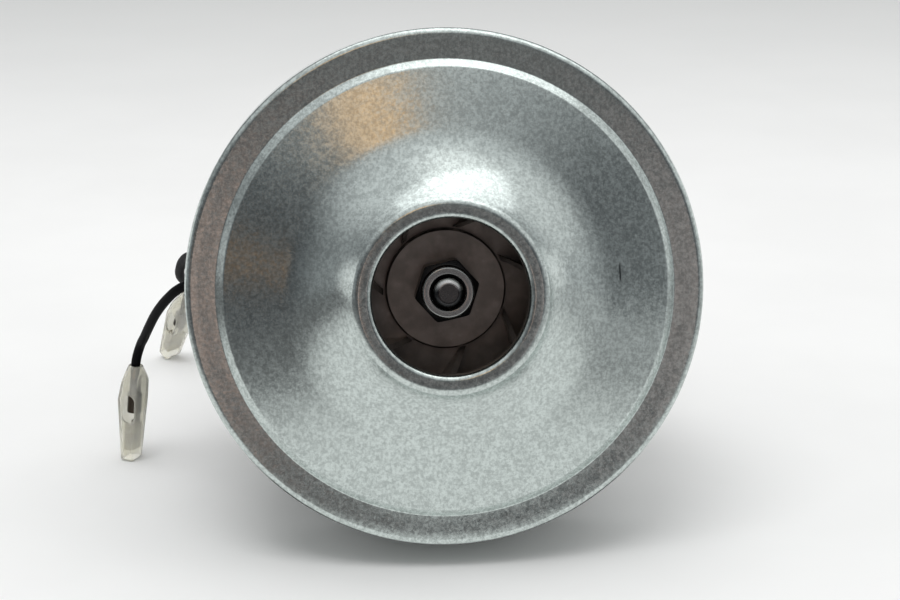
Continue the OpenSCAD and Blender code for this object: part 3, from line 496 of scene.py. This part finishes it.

# %% [markdown]
# The shaft's end is chamfered. The solid has a steep, narrow cone there, which stays dark. A wider and flatter
# ring of steel on it catches the light from above in a bright arc, helped by a painted highlight, like the real
# one.

# %% Ring on the shaft's end
SHAFT_TIP = HUB_Z + NUT_H + SHAFT_OUT
RING_CORNERS = [
    (2.1, 0.01), (2.33, 0.01), (2.4, -0.01), (3.35, -0.55), (3.45, -0.68), (3.45, -1.2), (2.1, -1.2),
]
AROUND_RING, RING_CREASE = 120, 30
ring_profile = [(r, z + SHAFT_TIP) for r, z in RING_CORNERS]
shaft_ring = turned("shaft_end", ring_profile, AROUND_RING, RING_CREASE)
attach(shaft_ring, "rotor")
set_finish(shaft_ring, "bearing_steel")
print("the shaft ends", round(SHAFT_TIP, 2), "mm in front of the flange")

# %% [markdown]
# ## Shader maths as plain Python
# Every finish below is made of nodes. One small class holds a socket, so that sums of values read like sums:
# each operator adds a Math node. Its `add` method makes any other node, first its settings, then its inputs.

# %% Wires
class Wire:
    """A socket of a node tree, as a value to work with."""

    def __init__(self, tree, socket=None):
        self.tree = tree
        self.socket = socket

    def add(self, kind, settings=None, inputs=None, out=0):
        node = self.tree.nodes.new(kind)
        for name, value in (settings or {}).items():
            setattr(node, name, value)
        for name, value in (inputs or {}).items():
            if isinstance(value, Wire):
                self.tree.links.new(value.socket, node.inputs[name])
            else:
                node.inputs[name].default_value = value
        return Wire(self.tree, node.outputs[out]) if len(node.outputs) else node

    def sum(self, operation, *terms):
        return self.add("ShaderNodeMath", {"operation": operation}, dict(enumerate(terms)))

    def __add__(self, other):
        return self.sum("ADD", self, other)

    def __sub__(self, other):
        return self.sum("SUBTRACT", self, other)

    def __rsub__(self, other):
        return self.sum("SUBTRACT", other, self)

    def __mul__(self, other):
        return self.sum("MULTIPLY", self, other)

    def __truediv__(self, other):
        return self.sum("DIVIDE", self, other)

    def __rtruediv__(self, other):
        return self.sum("DIVIDE", other, self)

    def __abs__(self):
        return self.sum("ABSOLUTE", self)

    __radd__ = __add__
    __rmul__ = __mul__

    def rise(self, low, high):
        """0 below low and 1 above high, with a soft change between them; high may be the smaller one."""
        return self.add(
            "ShaderNodeMapRange",
            {"interpolation_type": "SMOOTHSTEP"},
            {"Value": self, "From Min": low, "From Max": high, "To Min": 0.0, "To Max": 1.0},
        )

    def blend(self, first, second):
        """A colour between two others, with this value as the share of the second."""
        first, second = ((*c, 1) if isinstance(c, tuple) else c for c in (first, second))
        return self.add("ShaderNodeMix", {"data_type": "RGBA"}, {0: self, 6: first, 7: second}, 2)

    def speckle(self, size, detail=2.0, rough=0.5):
        """Noise on this position, with lumps of about size, in metres."""
        return self.add(
            "ShaderNodeTexNoise", {}, {"Vector": self, "Scale": 1 / size, "Detail": detail, "Roughness": rough}
        )

    def flakes(self, size):
        """One random value for each grain of about size, in metres."""
        colour = self.add("ShaderNodeTexVoronoi", {}, {"Vector": self, "Scale": 1 / size}, "Color")
        return colour.add("ShaderNodeSeparateColor", {}, {"Color": colour}, 0)

    def vector(self, operation, other):
        return self.add("ShaderNodeVectorMath", {"operation": operation}, {0: self, 1: other})

    def stretched(self, x, y, z):
        """This position with its axes scaled, so that noise on it becomes streaks."""
        return self.vector("MULTIPLY", (x, y, z))

    def wobble(self, kind, size, reach):
        """A random vector of this position, up to half of reach each way, smooth or one for each grain."""
        colour = self.add(kind, {}, {"Vector": self, "Scale": 1 / size}, "Color")
        return colour.vector("SUBTRACT", (0.5, 0.5, 0.5)).vector("MULTIPLY", (reach, reach, reach))

    def axes(self):
        return [self.add("ShaderNodeSeparateXYZ", {}, {"Vector": self}, i) for i in range(3)]

    def bump(self, depth, normal=None):
        """A normal from this height, which runs over depth, in metres, on top of another normal."""
        inputs = {"Height": self, "Distance": depth}
        if normal:
            inputs["Normal"] = normal
        return self.add("ShaderNodeBump", {}, inputs, "Normal")


finishes = {}


def new_finish(name):
    """An empty material, and the position on the object to start its nodes from."""
    material = bpy.data.materials.new(name)
    material.use_nodes = True
    material.node_tree.nodes.clear()
    finishes[name] = material
    return Wire(material.node_tree).add("ShaderNodeTexCoord", {}, {}, "Object")


def close_finish(at, **sockets):
    """Ends a finish: a Principled shader with these sockets, and the output."""
    names = {name.replace("_", " "): value for name, value in sockets.items()}
    surface = at.add("ShaderNodeBsdfPrincipled", {}, names)
    at.add("ShaderNodeOutputMaterial", {}, {"Surface": surface})


def along_axis(at):
    """Distance from the flange along the motor's axis, in metres, for a solid that lies in the frame."""
    offset = at.add("ShaderNodeVectorMath", {"operation": "SUBTRACT"}, {0: at, 1: laid_down.translation})
    return at.add("ShaderNodeVectorMath", {"operation": "DOT_PRODUCT"}, {0: offset, 1: inlet_way}, "Value")


print("wires are ready")

# %% [markdown]
# ## Galvanised steel
# The case and the motor can are sheet that was dipped in zinc. Zinc freezes in flat crystals of a millimetre
# or two. Each has its own tone and lies a little askew, so it mirrors a slightly different part of the room.
# Rolling adds faint streaks and a fine grain. A flat grey metal would look like plastic here, so soft mottles,
# streaks and two sizes of crystals drive the colour, and the crystals also tilt the normal.

# %% Zinc finish
BIG_CRYSTAL, SMALL_CRYSTAL = 1.6 * MM, 0.65 * MM
BIG_TILT, SMALL_TILT = 0.012, 0.022
SCRATCH_X, SCRATCH_Y = 39.0 * MM, 3.4 * MM
SCRATCH_TONE = (0.03, 0.032, 0.035)


def zinc(name, tone, spread, rough, marks=None):
    at = new_finish(name)
    bent = at.vector("ADD", at.wobble("ShaderNodeTexNoise", 0.9 * MM, 1.1 * MM))
    big, small = bent.flakes(BIG_CRYSTAL), bent.flakes(SMALL_CRYSTAL)
    mottle = at.speckle(0.8 * MM, 2, 0.6)
    streak = at.stretched(1, 0.22, 1).speckle(0.65 * MM, 3, 0.6)
    frost = at.speckle(0.34 * MM, 2, 0.65)
    mix = mottle * 1.5 + frost * 0.9 + streak * 0.7 + big * 0.2 + small * 0.2 - 1.25
    dark, pale = (tuple(c * (1 + side * spread) for c in tone) for side in (-1, 1))
    colour = mix.rise(0.1, 0.9).blend(dark, pale)
    if marks:
        colour = marks(at).blend(colour, SCRATCH_TONE)
    askew = bent.wobble("ShaderNodeTexVoronoi", BIG_CRYSTAL, BIG_TILT)
    askew = askew.vector("ADD", bent.wobble("ShaderNodeTexVoronoi", SMALL_CRYSTAL, SMALL_TILT))
    facing = at.add("ShaderNodeNewGeometry", {}, {}, "Normal").vector("ADD", askew)
    facing = facing.add("ShaderNodeVectorMath", {"operation": "NORMALIZE"}, {0: facing})
    close_finish(
        at,
        Base_Color=colour,
        Metallic=1.0,
        Roughness=rough + (frost - 0.5) * 0.12 + (small - 0.5) * 0.06,
        Normal=(frost * 0.6 + streak * 0.4).bump(0.006 * MM, facing),
    )


def scratch(at):
    """A short upright scratch on the right of the cone, as a share of darkness."""
    x, y, _ = at.axes()
    along = y - SCRATCH_Y
    thin = abs(x - SCRATCH_X + along * 0.05).rise(0.26 * MM, 0.1 * MM)
    return thin * abs(along).rise(2.5 * MM, 1.2 * MM) * 0.9


zinc("zinc_case", (0.52, 0.575, 0.557), 0.21, 0.19, scratch)
zinc("zinc_can", (0.48, 0.53, 0.515), 0.2, 0.26)
print("finishes:", sorted(finishes))

# %% [markdown]
# ## Dark sheet of the fan wheel
# The fan wheel and its big washers are steel with a dark brown-black coat. It is still a metal, so it mirrors
# the light softly. One dark tone would look like paint, so slow patches change the tone, a fine grain changes
# the polish, and a few places are rubbed lighter.

# %% Dark finish
def dark_coat():
    at = new_finish("dark_coat")
    grain = at.speckle(0.35 * MM, 3, 0.6)
    patches = at.speckle(4 * MM, 3)
    wear_and_painted_highlight = (at.speckle(1.6 * MM, 4, 0.7) * 0.6 + patches * 0.4).rise(0.56, 0.72)
    colour = patches.rise(0.3, 0.7).blend((0.20, 0.176, 0.16), (0.28, 0.248, 0.226))
    close_finish(
        at,
        Base_Color=(wear_and_painted_highlight * 0.35).blend(colour, (0.40, 0.355, 0.32)),
        Metallic=0.9,
        Roughness=0.40 + (grain - 0.5) * 0.2 - wear_and_painted_highlight * 0.08,
        Normal=(grain * 0.7 + patches * 0.3).bump(0.015 * MM),
    )


dark_coat()
print("finishes:", sorted(finishes))

# %% [markdown]
# ## Bright and turned steel
# Screws and the spacer are plated steel. Shaft, rings and balls are ground. Both get fine lines from the tool
# and small differences of polish. The lines are noise that is stretched along the surface, because that needs
# no unwrapping and has the same scale on every piece. The shaft gets painted shade where it runs into the nut,
# between two distances from the flange, for the dark gap between them.

# %% Steel finishes
def bright_steel(name, dark, pale, rough, lines, painted_shade=None):
    at = new_finish(name)
    tool = at.stretched(1, lines, lines).speckle(0.5 * MM, 3, 0.6)
    grain = at.speckle(0.25 * MM, 2)
    dull = at.speckle(2.5 * MM, 3).rise(0.45, 0.75)
    colour = (tool * 0.6 + grain * 0.4).rise(0.3, 0.7).blend(dark, pale)
    colour = (dull * 0.35).blend(colour, (dark[0] * 0.7, dark[1] * 0.68, dark[2] * 0.65))
    # painted shade: the shaft is darkened between two distances, where it runs into the dark gap of the nut
    if painted_shade:
        height = along_axis(at)
        low, high = (edge * MM for edge in painted_shade)
        painted_shade_mask = height.rise(low, low + 0.2 * MM) * height.rise(high + 0.1 * MM, high)
        colour = painted_shade_mask.blend(colour, (0.006, 0.006, 0.007))
    close_finish(
        at,
        Base_Color=colour,
        Metallic=1.0,
        Roughness=rough + (tool - 0.5) * 0.14 + dull * 0.1,
        Normal=(tool * 0.6 + grain * 0.4).bump(0.006 * MM),
    )


SHAFT_SHADE_BAND = (4.2, 7.6)

bright_steel("plated_nut", (0.50, 0.50, 0.48), (0.74, 0.74, 0.71), 0.26, 3)
bright_steel("ground_steel", (0.46, 0.46, 0.46), (0.66, 0.66, 0.655), 0.22, 4)
bright_steel("shaft_steel", (0.10, 0.10, 0.102), (0.16, 0.16, 0.16), 0.24, 4, SHAFT_SHADE_BAND)
print("finishes:", sorted(finishes))

# %% [markdown]
# The lock nut is different: its hexagon is near black, and only the rolled edge of its collar is bright
# steel. Two materials would meet in a hard line. The nut is drawn upright, so the height on the piece itself,
# with a little noise, blends the two.

# %% Black nut with a bright edge
BRIGHT_FROM, BRIGHT_FULLY = 6.42 * MM, 6.75 * MM


def black_nut():
    at = new_finish("black_nut")
    height = at.axes()[2]
    grain = at.speckle(0.25 * MM, 2)
    # above a height on the nut, at the collar's rolled edge, it is bright steel; below it the nut is near black
    bright_collar = (height + (at.speckle(1.1 * MM, 3) - 0.5) * 0.25 * MM).rise(BRIGHT_FROM, BRIGHT_FULLY)
    colour = grain.rise(0.3, 0.7).blend((0.018, 0.018, 0.02), (0.04, 0.039, 0.038))
    bright = grain.rise(0.25, 0.75).blend((0.34, 0.345, 0.34), (0.48, 0.485, 0.475))
    close_finish(
        at,
        Base_Color=bright_collar.blend(colour, bright),
        Metallic=0.95,
        Roughness=0.3 - bright_collar * 0.12 + (grain - 0.5) * 0.08,
        Normal=grain.bump(0.004 * MM),
    )


black_nut()
print("finishes:", sorted(finishes))

# %% [markdown]
# The ring on the shaft's end gets painted shade in its lower part and a painted highlight in its upper part, where
# the light from above falls. Here too, the position on the piece blends the two.

# %% Ring of the shaft's end
def painted_highlight_ring():
    at = new_finish("painted_highlight_ring")
    grain = at.speckle(0.25 * MM, 2)
    # painted highlight and painted shade: the upper part of the ring is bright, the lower part dark, as light
    # falls from above
    wear_and_painted_highlight = (at.axes()[1] + (grain - 0.5) * MM).rise(0.3 * MM, 1.7 * MM)
    painted_shade = grain.rise(0.3, 0.7).blend((0.03, 0.03, 0.032), (0.06, 0.06, 0.062))
    bright = grain.rise(0.25, 0.75).blend((0.46, 0.46, 0.46), (0.62, 0.62, 0.61))
    close_finish(
        at,
        Base_Color=wear_and_painted_highlight.blend(painted_shade, bright),
        Metallic=1.0,
        Roughness=0.24 + (grain - 0.5) * 0.1,
        Normal=grain.bump(0.004 * MM),
    )


painted_highlight_ring()
print("finishes:", sorted(finishes))

# %% [markdown]
# ## Cast aluminium and the stacked core
# The bracket is a die casting: pale, a little rough, with slow flow marks. The cores of the motor are stacks
# of thin punched sheets, so their sides show many fine lines, one per sheet, across the axis. To model each
# sheet would cost far too many faces, so the height along the axis gives those lines.

# %% Casting and core
CORE_SHEET = 0.5 * MM


def casting():
    at = new_finish("die_casting")
    flow = at.stretched(1, 1, 0.4).speckle(9 * MM, 4)
    skin = at.speckle(0.5 * MM, 3, 0.65)
    pores = at.speckle(1.3 * MM, 2).rise(0.66, 0.74)
    colour = (flow * 0.6 + skin * 0.4).rise(0.3, 0.7).blend((0.50, 0.51, 0.52), (0.66, 0.67, 0.675))
    close_finish(
        at,
        Base_Color=(pores * 0.4).blend(colour, (0.3, 0.3, 0.305)),
        Metallic=0.9,
        Roughness=0.46 + (skin - 0.5) * 0.2,
        Normal=(skin * 0.7 + flow * 0.3 - pores * 0.5).bump(0.03 * MM),
    )


def core_sheets():
    at = new_finish("core_sheets")
    height = along_axis(at) / CORE_SHEET
    groove = abs(height.sum("FRACT", height) - 0.5).rise(0.36, 0.48)
    each = height.add(
        "ShaderNodeTexWhiteNoise", {"noise_dimensions": "1D"}, {"W": height.sum("FLOOR", height)}, "Value"
    )
    rust = at.speckle(3 * MM, 4, 0.65).rise(0.52, 0.72)
    colour = (each * 0.6 + at.speckle(0.6 * MM, 2) * 0.4).rise(0.2, 0.8).blend(
        (0.21, 0.21, 0.215), (0.36, 0.36, 0.365)
    )
    colour = (rust * 0.3).blend(colour, (0.2, 0.12, 0.07))
    close_finish(
        at,
        Base_Color=(groove * 0.7).blend(colour, (0.05, 0.05, 0.05)),
        Metallic=0.8,
        Roughness=0.42 + each * 0.12 + rust * 0.12,
        Normal=(1 - groove).bump(0.05 * MM),
    )


casting()
core_sheets()
print("finishes:", sorted(finishes))

# %% [markdown]
# ## Copper, brass and carbon
# Windings are varnished copper wire, so they show fine parallel strands under a clear coat, which a bump draws
# well enough. Bare copper bars carry a brown film where the brushes run. The brushes are pressed carbon: black,
# dull and speckled. The receptacles on the leads are tinned and pale below; above one height, round the crimp,
# they get painted shade in a dark tone, for the deep shadow inside the sleeve.

# %% Electrical finishes
STRAND = 0.45 * MM
CRIMP_SHADE_FROM = 10.5 * MM


def winding_wire():
    at = new_finish("winding_wire")
    across_wire = along_axis(at) / STRAND
    strand = abs(across_wire.sum("FRACT", across_wire + at.speckle(5 * MM, 2) * 2) - 0.5) * 2
    varnish = at.speckle(4 * MM, 3)
    colour = varnish.rise(0.3, 0.7).blend((0.30, 0.105, 0.035), (0.52, 0.21, 0.085))
    close_finish(
        at,
        Base_Color=(strand.rise(0.7, 1.0) * 0.7).blend(colour, (0.08, 0.03, 0.015)),
        Metallic=0.55,
        Roughness=0.34 + varnish * 0.14,
        Normal=(1 - strand).bump(0.12 * MM),
        Coat_Weight=0.5,
        Coat_Roughness=0.2,
    )


def soft_metal(name, dark, pale, film_and_shade_tone, rough, crimp_shade_from=None):
    at = new_finish(name)
    tool = at.stretched(1, 4, 4).speckle(0.6 * MM, 3, 0.6)
    tarnish = at.speckle(3 * MM, 4, 0.6).rise(0.42, 0.7)
    colour = tool.rise(0.3, 0.7).blend(dark, pale)
    # painted shade: above this height, round the crimp, the receptacle takes the dark tone for the shadow inside
    # the sleeve
    if crimp_shade_from:
        colour = at.axes()[2].rise(crimp_shade_from - MM, crimp_shade_from + 0.5 * MM).blend(colour, film_and_shade_tone)
    close_finish(
        at,
        Base_Color=(tarnish * 0.6).blend(colour, film_and_shade_tone),
        Metallic=1.0,
        Roughness=rough + (tool - 0.5) * 0.12 + tarnish * 0.12,
        Normal=tool.bump(0.006 * MM),
    )


def pressed_carbon():
    at = new_finish("pressed_carbon")
    grain = at.speckle(0.3 * MM, 3, 0.7)
    glints = at.flakes(0.35 * MM).rise(0.86, 0.97)
    colour = grain.rise(0.3, 0.7).blend((0.012, 0.012, 0.013), (0.035, 0.035, 0.037))
    close_finish(
        at,
        Base_Color=(glints * 0.5).blend(colour, (0.12, 0.12, 0.125)),
        Metallic=0.15,
        Roughness=0.62 - glints * 0.25,
        Normal=grain.bump(0.02 * MM),
    )


winding_wire()
soft_metal("bare_copper", (0.60, 0.26, 0.14), (0.82, 0.42, 0.26), (0.22, 0.10, 0.06), 0.28)
soft_metal("sheet_brass", (0.62, 0.44, 0.18), (0.80, 0.62, 0.30), (0.42, 0.28, 0.12), 0.30)
soft_metal("tinned_brass", (0.36, 0.34, 0.29), (0.56, 0.53, 0.46), (0.042, 0.034, 0.027), 0.34, CRIMP_SHADE_FROM)
pressed_carbon()
print("finishes:", sorted(finishes))

# %% [markdown]
# ## Plastics, rubber and film
# Moulded nylon, phenolic brush holders, a rubber grommet and the leads' insulation are all dark and matt, but
# not alike: phenolic shows its brown filler, rubber is dusty, and insulation is smooth with hardly any shine.
# One function makes them all, with its own tones, grain, dust and shine for each. The sleeves are clear plastic
# with a milky, yellowish body, so most of the light goes through them.

# %% Moulded finishes
def moulded(name, dark, pale, rough, grain_size, depth, dust=0.0, shine=0.5):
    at = new_finish(name)
    grain = at.speckle(grain_size, 3, 0.6)
    cloud = at.speckle(6 * MM, 3)
    colour = (grain * 0.5 + cloud * 0.5).rise(0.3, 0.7).blend(dark, pale)
    dusty = at.speckle(2 * MM, 4, 0.7).rise(0.5, 0.75) * dust
    close_finish(
        at,
        Base_Color=dusty.blend(colour, (0.32, 0.31, 0.29)),
        Specular_IOR_Level=shine,
        Roughness=rough + (grain - 0.5) * 0.14 + dusty * 0.3,
        Normal=grain.bump(depth),
    )


def clear_sleeve():
    at = new_finish("clear_sleeve")
    milk = at.speckle(3.5 * MM, 3)
    flow = at.stretched(1, 1, 0.25).speckle(1.2 * MM, 2)
    close_finish(
        at,
        Base_Color=milk.rise(0.3, 0.7).blend((0.95, 0.93, 0.82), (0.98, 0.97, 0.90)),
        Roughness=0.13 + (flow - 0.5) * 0.1,
        Normal=(flow * 0.6 + milk * 0.4).bump(0.05 * MM),
        Transmission_Weight=0.76,
        IOR=1.45,
    )


moulded("black_nylon", (0.012, 0.012, 0.013), (0.026, 0.026, 0.028), 0.46, 0.5 * MM, 0.012 * MM)
moulded("brown_phenolic", (0.075, 0.032, 0.018), (0.14, 0.062, 0.034), 0.38, 0.7 * MM, 0.02 * MM)
moulded("liner_film", (0.50, 0.44, 0.30), (0.66, 0.60, 0.44), 0.44, 0.4 * MM, 0.01 * MM)
moulded("dusty_rubber", (0.014, 0.014, 0.014), (0.03, 0.03, 0.03), 0.62, 0.6 * MM, 0.02 * MM, 0.12)
moulded("lead_black", (0.003, 0.003, 0.004), (0.006, 0.006, 0.007), 0.5, 0.9 * MM, 0.01 * MM, 0.0, 0.03)
clear_sleeve()
print("finishes:", sorted(finishes))

# %% [markdown]
# ## Who wears which finish
# The record already says which finish each solid takes. One table turns those names into the materials above,
# and the new pieces follow their own slot.

# %% Dress the solids and the pieces
slot_finish = {
    "galvanised_steel": "zinc_can",
    "dark_steel": "dark_coat",
    "plated_steel": "plated_nut",
    "black_nylon": "black_nylon",
    "cast_aluminium": "die_casting",
    "core_steel": "core_sheets",
    "enamelled_copper": "winding_wire",
    "bare_copper": "bare_copper",
    "liner_film": "liner_film",
    "brown_phenolic": "brown_phenolic",
    "sheet_brass": "sheet_brass",
    "carbon": "pressed_carbon",
    "bearing_steel": "ground_steel",
    "cage_brass": "sheet_brass",
    "black_rubber": "dusty_rubber",
    "lead_insulation": "lead_black",
    "clear_sleeve": "clear_sleeve",
}


def dress(piece, finish):
    piece.data.materials.clear()
    piece.data.materials.append(finishes[finish])


for part in frame["record"]["subparts"]:
    dress(nodes[part["node"]], slot_finish[part["material_slot"]])
dress(case, "zinc_case")
dress(nut, "black_nut")
dress(nodes["armature_shaft"], "shaft_steel")
dress(shaft_ring, "painted_highlight_ring")
for number in (1, 2):
    dress(nodes[f"receptacle_{number}"], "tinned_brass")
for piece in [*leads.values(), *sleeves]:
    dress(piece, slot_finish[piece["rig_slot"]])

# %% [markdown]
# ## The floor, the lamps and the room
# The unit lies on a white sheet under a broad, soft lamp, and a smaller one lightens the floor in front. Bare
# metal shows nothing but the room around it, so the room matters as much as the lamps. Mirrored rays see the
# sheet in plain tones: white near the unit and behind it, dark farther away in front, where the sheet ends, and
# dark underneath, where the unit shades it.

# %% Floor and lamps
FLOOR_HALF, FLOOR_CREASE = 4, 30
# painted shade: the paper turns greyer far behind the unit, for the light that falls off there
PAPER_SHADE_FADES = (0.15, 0.8)  # distances behind the unit between which the paper gets greyer
PAPER_DARK, PAPER_PALE, PAPER_FAR_SHADE = (0.86, 0.865, 0.86), (0.885, 0.89, 0.885), (0.58, 0.59, 0.585)
MIRROR_SHARE = 0.94
MIRROR_FADES = (0.12, 0.38)  # distances from the middle between which the mirrored sheet ends
MIRROR_NEAR, MIRROR_BEHIND, MIRROR_UNDER = (0.91, 0.915, 0.91), (0.9, 0.905, 0.9), (0.08, 0.08, 0.08)
MIRROR_LEFT, MIRROR_RIGHT = (0.16, 0.16, 0.165), (0.55, 0.555, 0.56)
SHADE_FRONT, SHADE_BACK, SHADE_SIDE = (-0.056, -0.046), (0.1, 0.06), (0.075, 0.045)


def lay_floor():
    mesh = bmesh.new()
    bmesh.ops.create_grid(mesh, x_segments=8, y_segments=8, size=FLOOR_HALF)
    floor = shaded_piece("white_sheet", mesh, FLOOR_CREASE)
    floor.location = (0, 0, cad_box[0][2])
    at = new_finish("white_sheet")
    side, depth, _ = at.axes()
    paper = at.speckle(60 * MM, 3).rise(0.3, 0.7).blend(PAPER_DARK, PAPER_PALE)
    # painted shade: far behind the unit the paper's colour is blended to a grey
    paper = depth.rise(*PAPER_SHADE_FADES).blend(paper, PAPER_FAR_SHADE)
    sheet = at.add("ShaderNodeBsdfPrincipled", {}, {"Base Color": paper, "Roughness": 0.75})
    flat = at.stretched(1, 1, 0)
    away = flat.add("ShaderNodeVectorMath", {"operation": "LENGTH"}, {0: flat}, "Value")
    beyond = side.rise(0.0, 0.4).blend(MIRROR_LEFT, MIRROR_RIGHT)
    beyond = depth.rise(-0.02, 0.1).blend(beyond, MIRROR_BEHIND)
    image = away.rise(*MIRROR_FADES).blend(MIRROR_NEAR, beyond)
    under = depth.rise(*SHADE_FRONT) * depth.rise(*SHADE_BACK) * abs(side).rise(*SHADE_SIDE)
    image = under.blend(image, MIRROR_UNDER)
    image = at.add("ShaderNodeEmission", {}, {"Color": image, "Strength": 1.0})
    mirrored = at.add("ShaderNodeLightPath", {}, {}, "Is Glossy Ray")
    both = at.add("ShaderNodeMixShader", {}, {0: mirrored * MIRROR_SHARE, 1: sheet, 2: image})
    at.add("ShaderNodeOutputMaterial", {}, {"Surface": both})
    dress(floor, "white_sheet")
    return floor


def hang_lamp(name, place, size, energy):
    """A soft, oblong lamp at a place in metres, turned to the unit."""
    lamp = bpy.data.lights.new(name, "AREA")
    lamp.shape = "RECTANGLE"
    lamp.size, lamp.size_y = size
    lamp.energy = energy
    holder = bpy.data.objects.new(name, lamp)
    scene.collection.objects.link(holder)
    holder.location = place
    holder.rotation_euler = (-Vector(place)).to_track_quat("-Z", "Y").to_euler()
    return holder


floor = lay_floor()
top_lamp = hang_lamp("top_lamp", (0.16, 0.38, 1.3), (1.8, 1.0), 4.3)
front_fill = hang_lamp("front_fill", (-0.25, -0.45, 1.3), (0.8, 0.5), 5.0)
front_fill.visible_glossy = False
print("floor at", round(floor.location.z, 5), "lamps:", top_lamp.name, front_fill.name)

# %% [markdown]
# The room is dark in front, where the camera stands, lighter at the sides, most of all at the right, and bright
# above and low down behind. A few soft spots stand for the things in it: two brown ones in front, which colour
# the flange, with a fainter one above them, a soft window at the right, and two warm ones, which are the orange
# gleams on the cone. That is what metal mirrors. Matt things need less: a plain dome, bright overhead and at
# both sides, gives the floor its even light and the unit its soft shadow. Where no floor is in view, the camera
# sees a pale wall. Real walls and windows could be built instead, but a painted world is quicker to tune.

# %% Room
FRONT, RIGHT, LEFT = (0.112, 0.117, 0.126), (0.54, 0.55, 0.56), (0.33, 0.34, 0.35)
BROWN_LEFT, BROWN_RIGHT, BROWN_ABOVE = (0.68, 0.49, 0.43), (0.48, 0.40, 0.39), (0.38, 0.36, 0.35)
ABOVE, BEHIND, OVERHEAD, WINDOW = (0.80, 0.81, 0.82), (1.0, 1.0, 1.0), (1.4, 1.4, 1.4), (1.1, 1.1, 1.1)
WARM_HIGH, WARM_LOW = (1.25, 0.8, 0.46), (0.52, 0.31, 0.17)
DOME_DARK, DOME_SIDES, DOME_TOP = (0.01, 0.01, 0.01), (0.9, 0.9, 0.9), (1.2, 1.2, 1.2)
WALL = (0.86, 0.865, 0.86)


def toward(azimuth, elevation):
    """A direction from the unit: azimuth 0 is where the camera stands, and it grows to the right."""
    a, e = math.radians(azimuth), math.radians(elevation)
    return Vector((math.sin(a) * math.cos(e), -math.cos(a) * math.cos(e), math.sin(e)))


def paint_room():
    world = bpy.data.worlds.new("room")
    scene.world = world
    world.use_nodes = True
    world.node_tree.nodes.clear()
    way = Wire(world.node_tree).add("ShaderNodeTexCoord", {}, {}, "Generated")
    side, depth, up = way.axes()

    def spot(azimuth, elevation, inner, outer):
        """1 within inner degrees of a direction, and 0 beyond outer degrees."""
        centre = toward(azimuth, elevation)
        near = way.add("ShaderNodeVectorMath", {"operation": "DOT_PRODUCT"}, {0: way, 1: centre}, "Value")
        return near.rise(math.cos(math.radians(outer)), math.cos(math.radians(inner)))

    colour = side.rise(0.4, 1.0).blend(FRONT, RIGHT)
    colour = side.rise(-0.6, -1.0).blend(colour, LEFT)
    colour = spot(-7, 6, 3, 7).blend(colour, BROWN_LEFT)
    colour = spot(13, 5.5, 3, 7).blend(colour, BROWN_RIGHT)
    colour = (spot(4, 15, 2, 8) * 0.5).blend(colour, BROWN_ABOVE)
    colour = up.rise(0.3, 0.85).blend(colour, ABOVE)
    colour = (depth.rise(-0.12, 0.15) * up.rise(0.32, 0.1)).blend(colour, BEHIND)
    colour = (up.rise(0.8, 0.97) * side.rise(-0.3, 0.05)).blend(colour, OVERHEAD)
    colour = (spot(80, 36, 8, 34) * 0.5).blend(colour, WINDOW)
    colour = spot(-10, 35, 2, 9).blend(colour, WARM_HIGH)
    colour = (spot(-31, 10, 1, 4) * 0.8).blend(colour, WARM_LOW)
    soft = (abs(side).rise(0.3, 0.75) * up.rise(0.0, 0.2)).blend(DOME_DARK, DOME_SIDES)
    soft = up.rise(0.62, 0.95).blend(soft, DOME_TOP)
    mirrored = way.add("ShaderNodeLightPath", {}, {}, "Is Glossy Ray")
    colour = mirrored.blend(soft, colour)
    seen = way.add("ShaderNodeLightPath", {}, {}, "Is Camera Ray")
    colour = seen.blend(colour, WALL)
    glow = way.add("ShaderNodeBackground", {}, {"Color": colour, "Strength": 1.0})
    way.add("ShaderNodeOutputWorld", {}, {"Surface": glow})


paint_room()
print("room painted")
